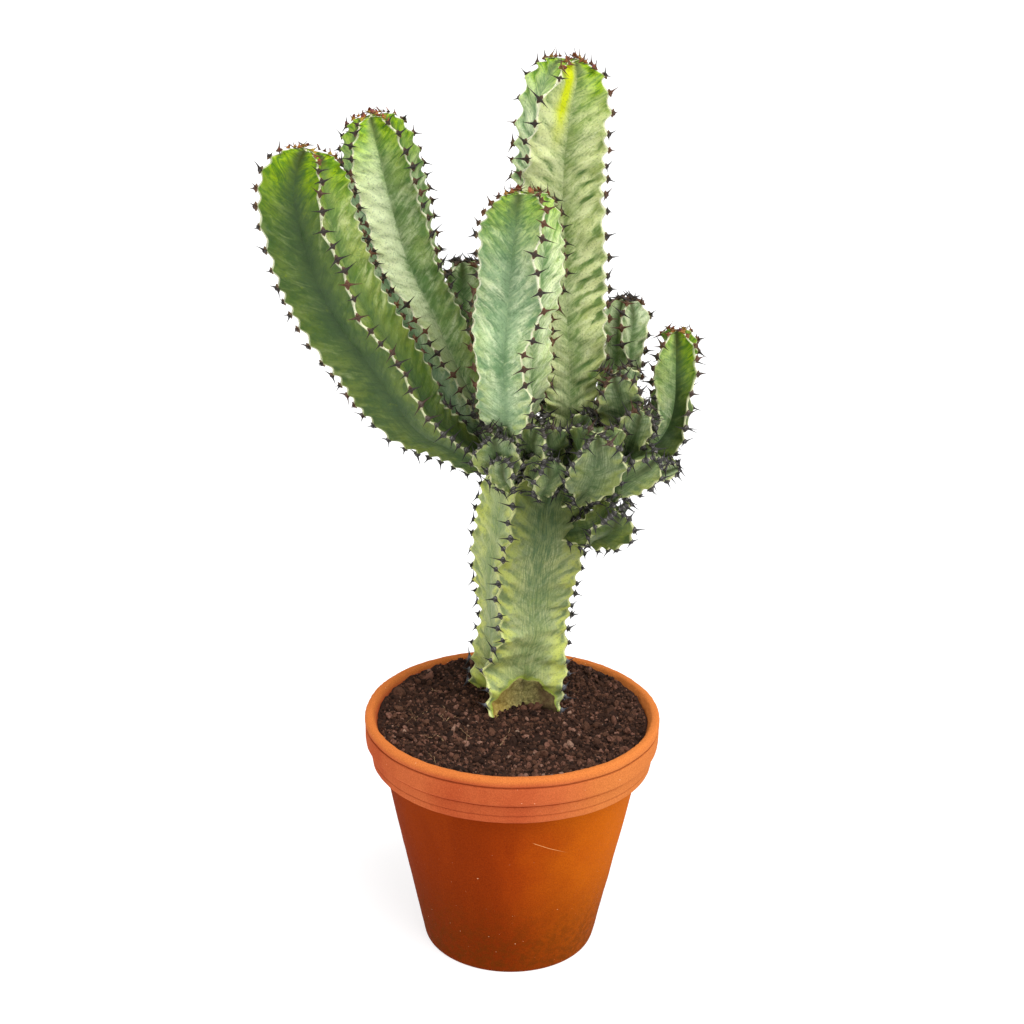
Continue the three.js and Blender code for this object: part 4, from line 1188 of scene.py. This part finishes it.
def make_soil():
    material = soil_material()
    rings, sides = 90, 300
    bottom = POT_FLOOR_THICKNESS + 0.35
    turn = turns(sides)
    edge = inner_wall(SOIL_LEVEL) + 0.25
    rows = [polar(inner_wall(z) - 0.6, turn, z)
            for z in (bottom, LOWER_BAND_BOTTOM, UPPER_BAND_BOTTOM + 4)]
    for i in range(rings):
        x, y = polar(edge * (1 - i / rings), turn).T
        rows.append(together(x, y, bed_height(x, y)))
    flat = np.vstack([*rows, [0, 0, bottom], [0, 0, bed_height(0.0, 0.0)]])
    tone = 0.2 + 0.1 * waves(flat, 5, SEED + 13)
    bed = mesh_of("soil_bed", flat, closed_faces(len(rows), sides), {"tone": tone})
    piece(bed, material, ("soil",))
    for name, subdivisions, count, small, large, reach, seed in CRUMBS:
        mesh = crumbs(name, subdivisions, count, small, large, reach * edge, seed)
        piece(mesh, material)


def crumbs(name, subdivisions, count, small, large, reach, seed):
    """Irregular crumbs of soil strewn over the bed."""
    rng = np.random.default_rng(SEED + seed)
    ball = bmesh.new()
    bmesh.ops.create_icosphere(ball, subdivisions=subdivisions, radius=1.0)
    shape = np.array([v.co for v in ball.verts])
    faces = np.array([[v.index for v in f.verts] for f in ball.faces])
    ball.free()
    turn = rng.uniform(0, TAU, count)
    size = small + (large - small) * rng.uniform(0, 1, count) ** 2
    x, y = polar(np.sqrt(rng.uniform(0, 1, count)) * (reach - size), turn).T
    z = bed_height(x, y) + size * rng.uniform(0.05, 0.45, count)
    stretch = rng.uniform(0.5, 1.35, (count, 1, 3))
    lumps = 1 + rng.normal(0, 0.13, (count, len(shape), 1))
    local = shape * stretch * lumps * size[:, None, None]
    axes = rng.normal(size=(count, 2, 3))
    a = unit(axes[:, 0])
    b = unit(np.cross(a, axes[:, 1]))
    points = turned(local, a, b, np.cross(a, b)) + together(x, y, z)[:, None]
    tone = np.repeat(rng.beta(1.3, 1.9, count), len(shape))
    return mesh_of(name, points.reshape(-1, 3), [repeated(faces, count, len(shape))],
                   {"tone": tone}, smooth=False)


def fibre_material():
    n = Nodes("root_fibre")
    fibres = n.noise(n.place(), 500)
    colour = n.mix(n.step(fibres, 0.35, 0.65), "5a3b26", "b08f68")
    return n.surface(Base_Color=colour, Roughness=0.85, Normal=n.bump(fibres, 0.0003, 0.6))


def make_fibres():
    """Thin roots that lie on the soil, most of them on the left."""
    rng = np.random.default_rng(SEED + 31)
    points, faces, base = [], [], 0
    steps, sides = 26, 6
    share = np.linspace(0, 1, steps)
    for i in range(FIBRE_COUNT):
        left = i < FIBRES_ON_LEFT
        turn = rng.uniform(math.radians(140), math.radians(235)) if left else rng.uniform(0, TAU)
        radius = rng.uniform(45, 105)
        heading = rng.uniform(0, TAU)
        length = rng.uniform(14, 46)
        bend = np.cumsum(rng.normal(0, 0.07, steps)) + heading
        x = radius * math.cos(turn) + np.cumsum(np.cos(bend)) * length / steps
        y = radius * math.sin(turn) + np.cumsum(np.sin(bend)) * length / steps
        keep = 113 / np.maximum(np.hypot(x, y), 113)
        x, y = x * keep, y * keep
        z = bed_height(x, y) + 1.5 + 0.8 * np.sin(math.pi * share)
        line = together(x, y, z)
        along = unit(np.gradient(line, axis=0) + 1e-9)
        side = unit(np.cross(along, [0, 0, 1.0]) + 1e-9)
        thick = rng.uniform(0.22, 0.5) * (1 - 0.6 * share)
        around = circle(side, np.cross(side, along), sides) * thick[:, None, None]
        points += [(line[:, None] + around).reshape(-1, 3), line[:1], line[-1:]]
        faces += [part[:, ::-1] + base for part in closed_faces(steps, sides)]
        base += steps * sides + 2
    piece(mesh_of("soil_fibres", np.vstack(points), faces), fibre_material())


# ---- Floor, light and camera

FLOOR_HALF_SIZE = 40000
FLOOR_GLOW = 0.74
WORLD_LIGHT = 0.45
# Broad, soft lamps: name, the way that the light goes, its spread in degrees and its strength
SUNS = (
    ("key", (-0.4, 0.55, -1.25), 45, 2.6),
    ("side", (-0.95, 0.25, -0.45), 40, 0.5),
    ("left", (0.9, 0.45, -0.35), 50, 0.5),
)
CAMERA_PLACE = (0.0, -1492.0, 958.0)
CAMERA_FOCUS_PIXELS = 1800     # focal length over the width of one of the image's pixels
IMAGE_SIZE = 1024
CAMERA_DOWN, CAMERA_ROLL, CAMERA_YAW = 19.79, 0.94, -0.13


def posed(made, x, y, z, place=(0, 0, 0)):
    """An object with its axes x, y and z and its place set."""
    rows = [[x[i], y[i], z[i], place[i] * MM] for i in range(3)]
    made.matrix_world = Matrix([*rows, [0, 0, 0, 1]])


def make_stage():
    material = Nodes("pale_floor").surface(
        Base_Color=(0.45, 0.45, 0.45, 1.0), Roughness=0.7, Specular_IOR_Level=0.1,
        Emission_Color=(1.0, 1.0, 1.0, 1.0), Emission_Strength=FLOOR_GLOW)
    h = FLOOR_HALF_SIZE
    mesh = mesh_of("floor", [(-h, -h, 0), (h, -h, 0), (h, h, 0), (-h, h, 0)],
                   [np.array([[0, 1, 2, 3]])])
    mesh.materials.append(material)
    floor = linked("floor", mesh)

    world = bpy.data.worlds.new("studio")
    world.use_nodes = True
    background = world.node_tree.nodes["Background"].inputs
    background["Color"].default_value = (1, 1, 1, 1)
    background["Strength"].default_value = WORLD_LIGHT
    bpy.context.scene.world = world

    for name, toward, spread, strength in SUNS:
        lamp = bpy.data.lights.new(name, "SUN")
        lamp.angle, lamp.energy = math.radians(spread), strength
        z = -unit(np.array(toward, float))
        x = unit(np.cross([0, 0, 1.0], z))
        posed(linked(name, lamp), x, np.cross(z, x), z)


def make_camera():
    down, roll, yaw = (math.radians(a) for a in (CAMERA_DOWN, CAMERA_ROLL, CAMERA_YAW))
    ahead = np.array([math.sin(yaw) * math.cos(down), math.cos(yaw) * math.cos(down),
                      -math.sin(down)])
    right = np.array([math.cos(yaw), -math.sin(yaw), 0])
    up = np.cross(right, ahead)
    x = math.cos(roll) * right + math.sin(roll) * up
    y = -math.sin(roll) * right + math.cos(roll) * up
    data = bpy.data.cameras.new("camera")
    data.sensor_width = 36
    data.lens = data.sensor_width * CAMERA_FOCUS_PIXELS / IMAGE_SIZE
    data.clip_start, data.clip_end = 0.05, 100
    camera = linked("camera", data)
    posed(camera, x, y, -ahead, CAMERA_PLACE)
    bpy.context.scene.camera = camera


# ---- The whole

make_camera()
make_stage()
make_pot()
make_soil()
make_fibres()

stems = [Stem(i, spec) for i, spec in enumerate(STEMS)]
skin, horn, leaf = stem_material(), spine_material(), leaf_material()
for stem in stems:
    skin_of(stem, skin)
    spines_of(stem, stems, horn)
    if "fresh" in stem.spec:
        leaves_of(stem, leaf)

bpy.context.scene.view_settings.view_transform = "Standard"
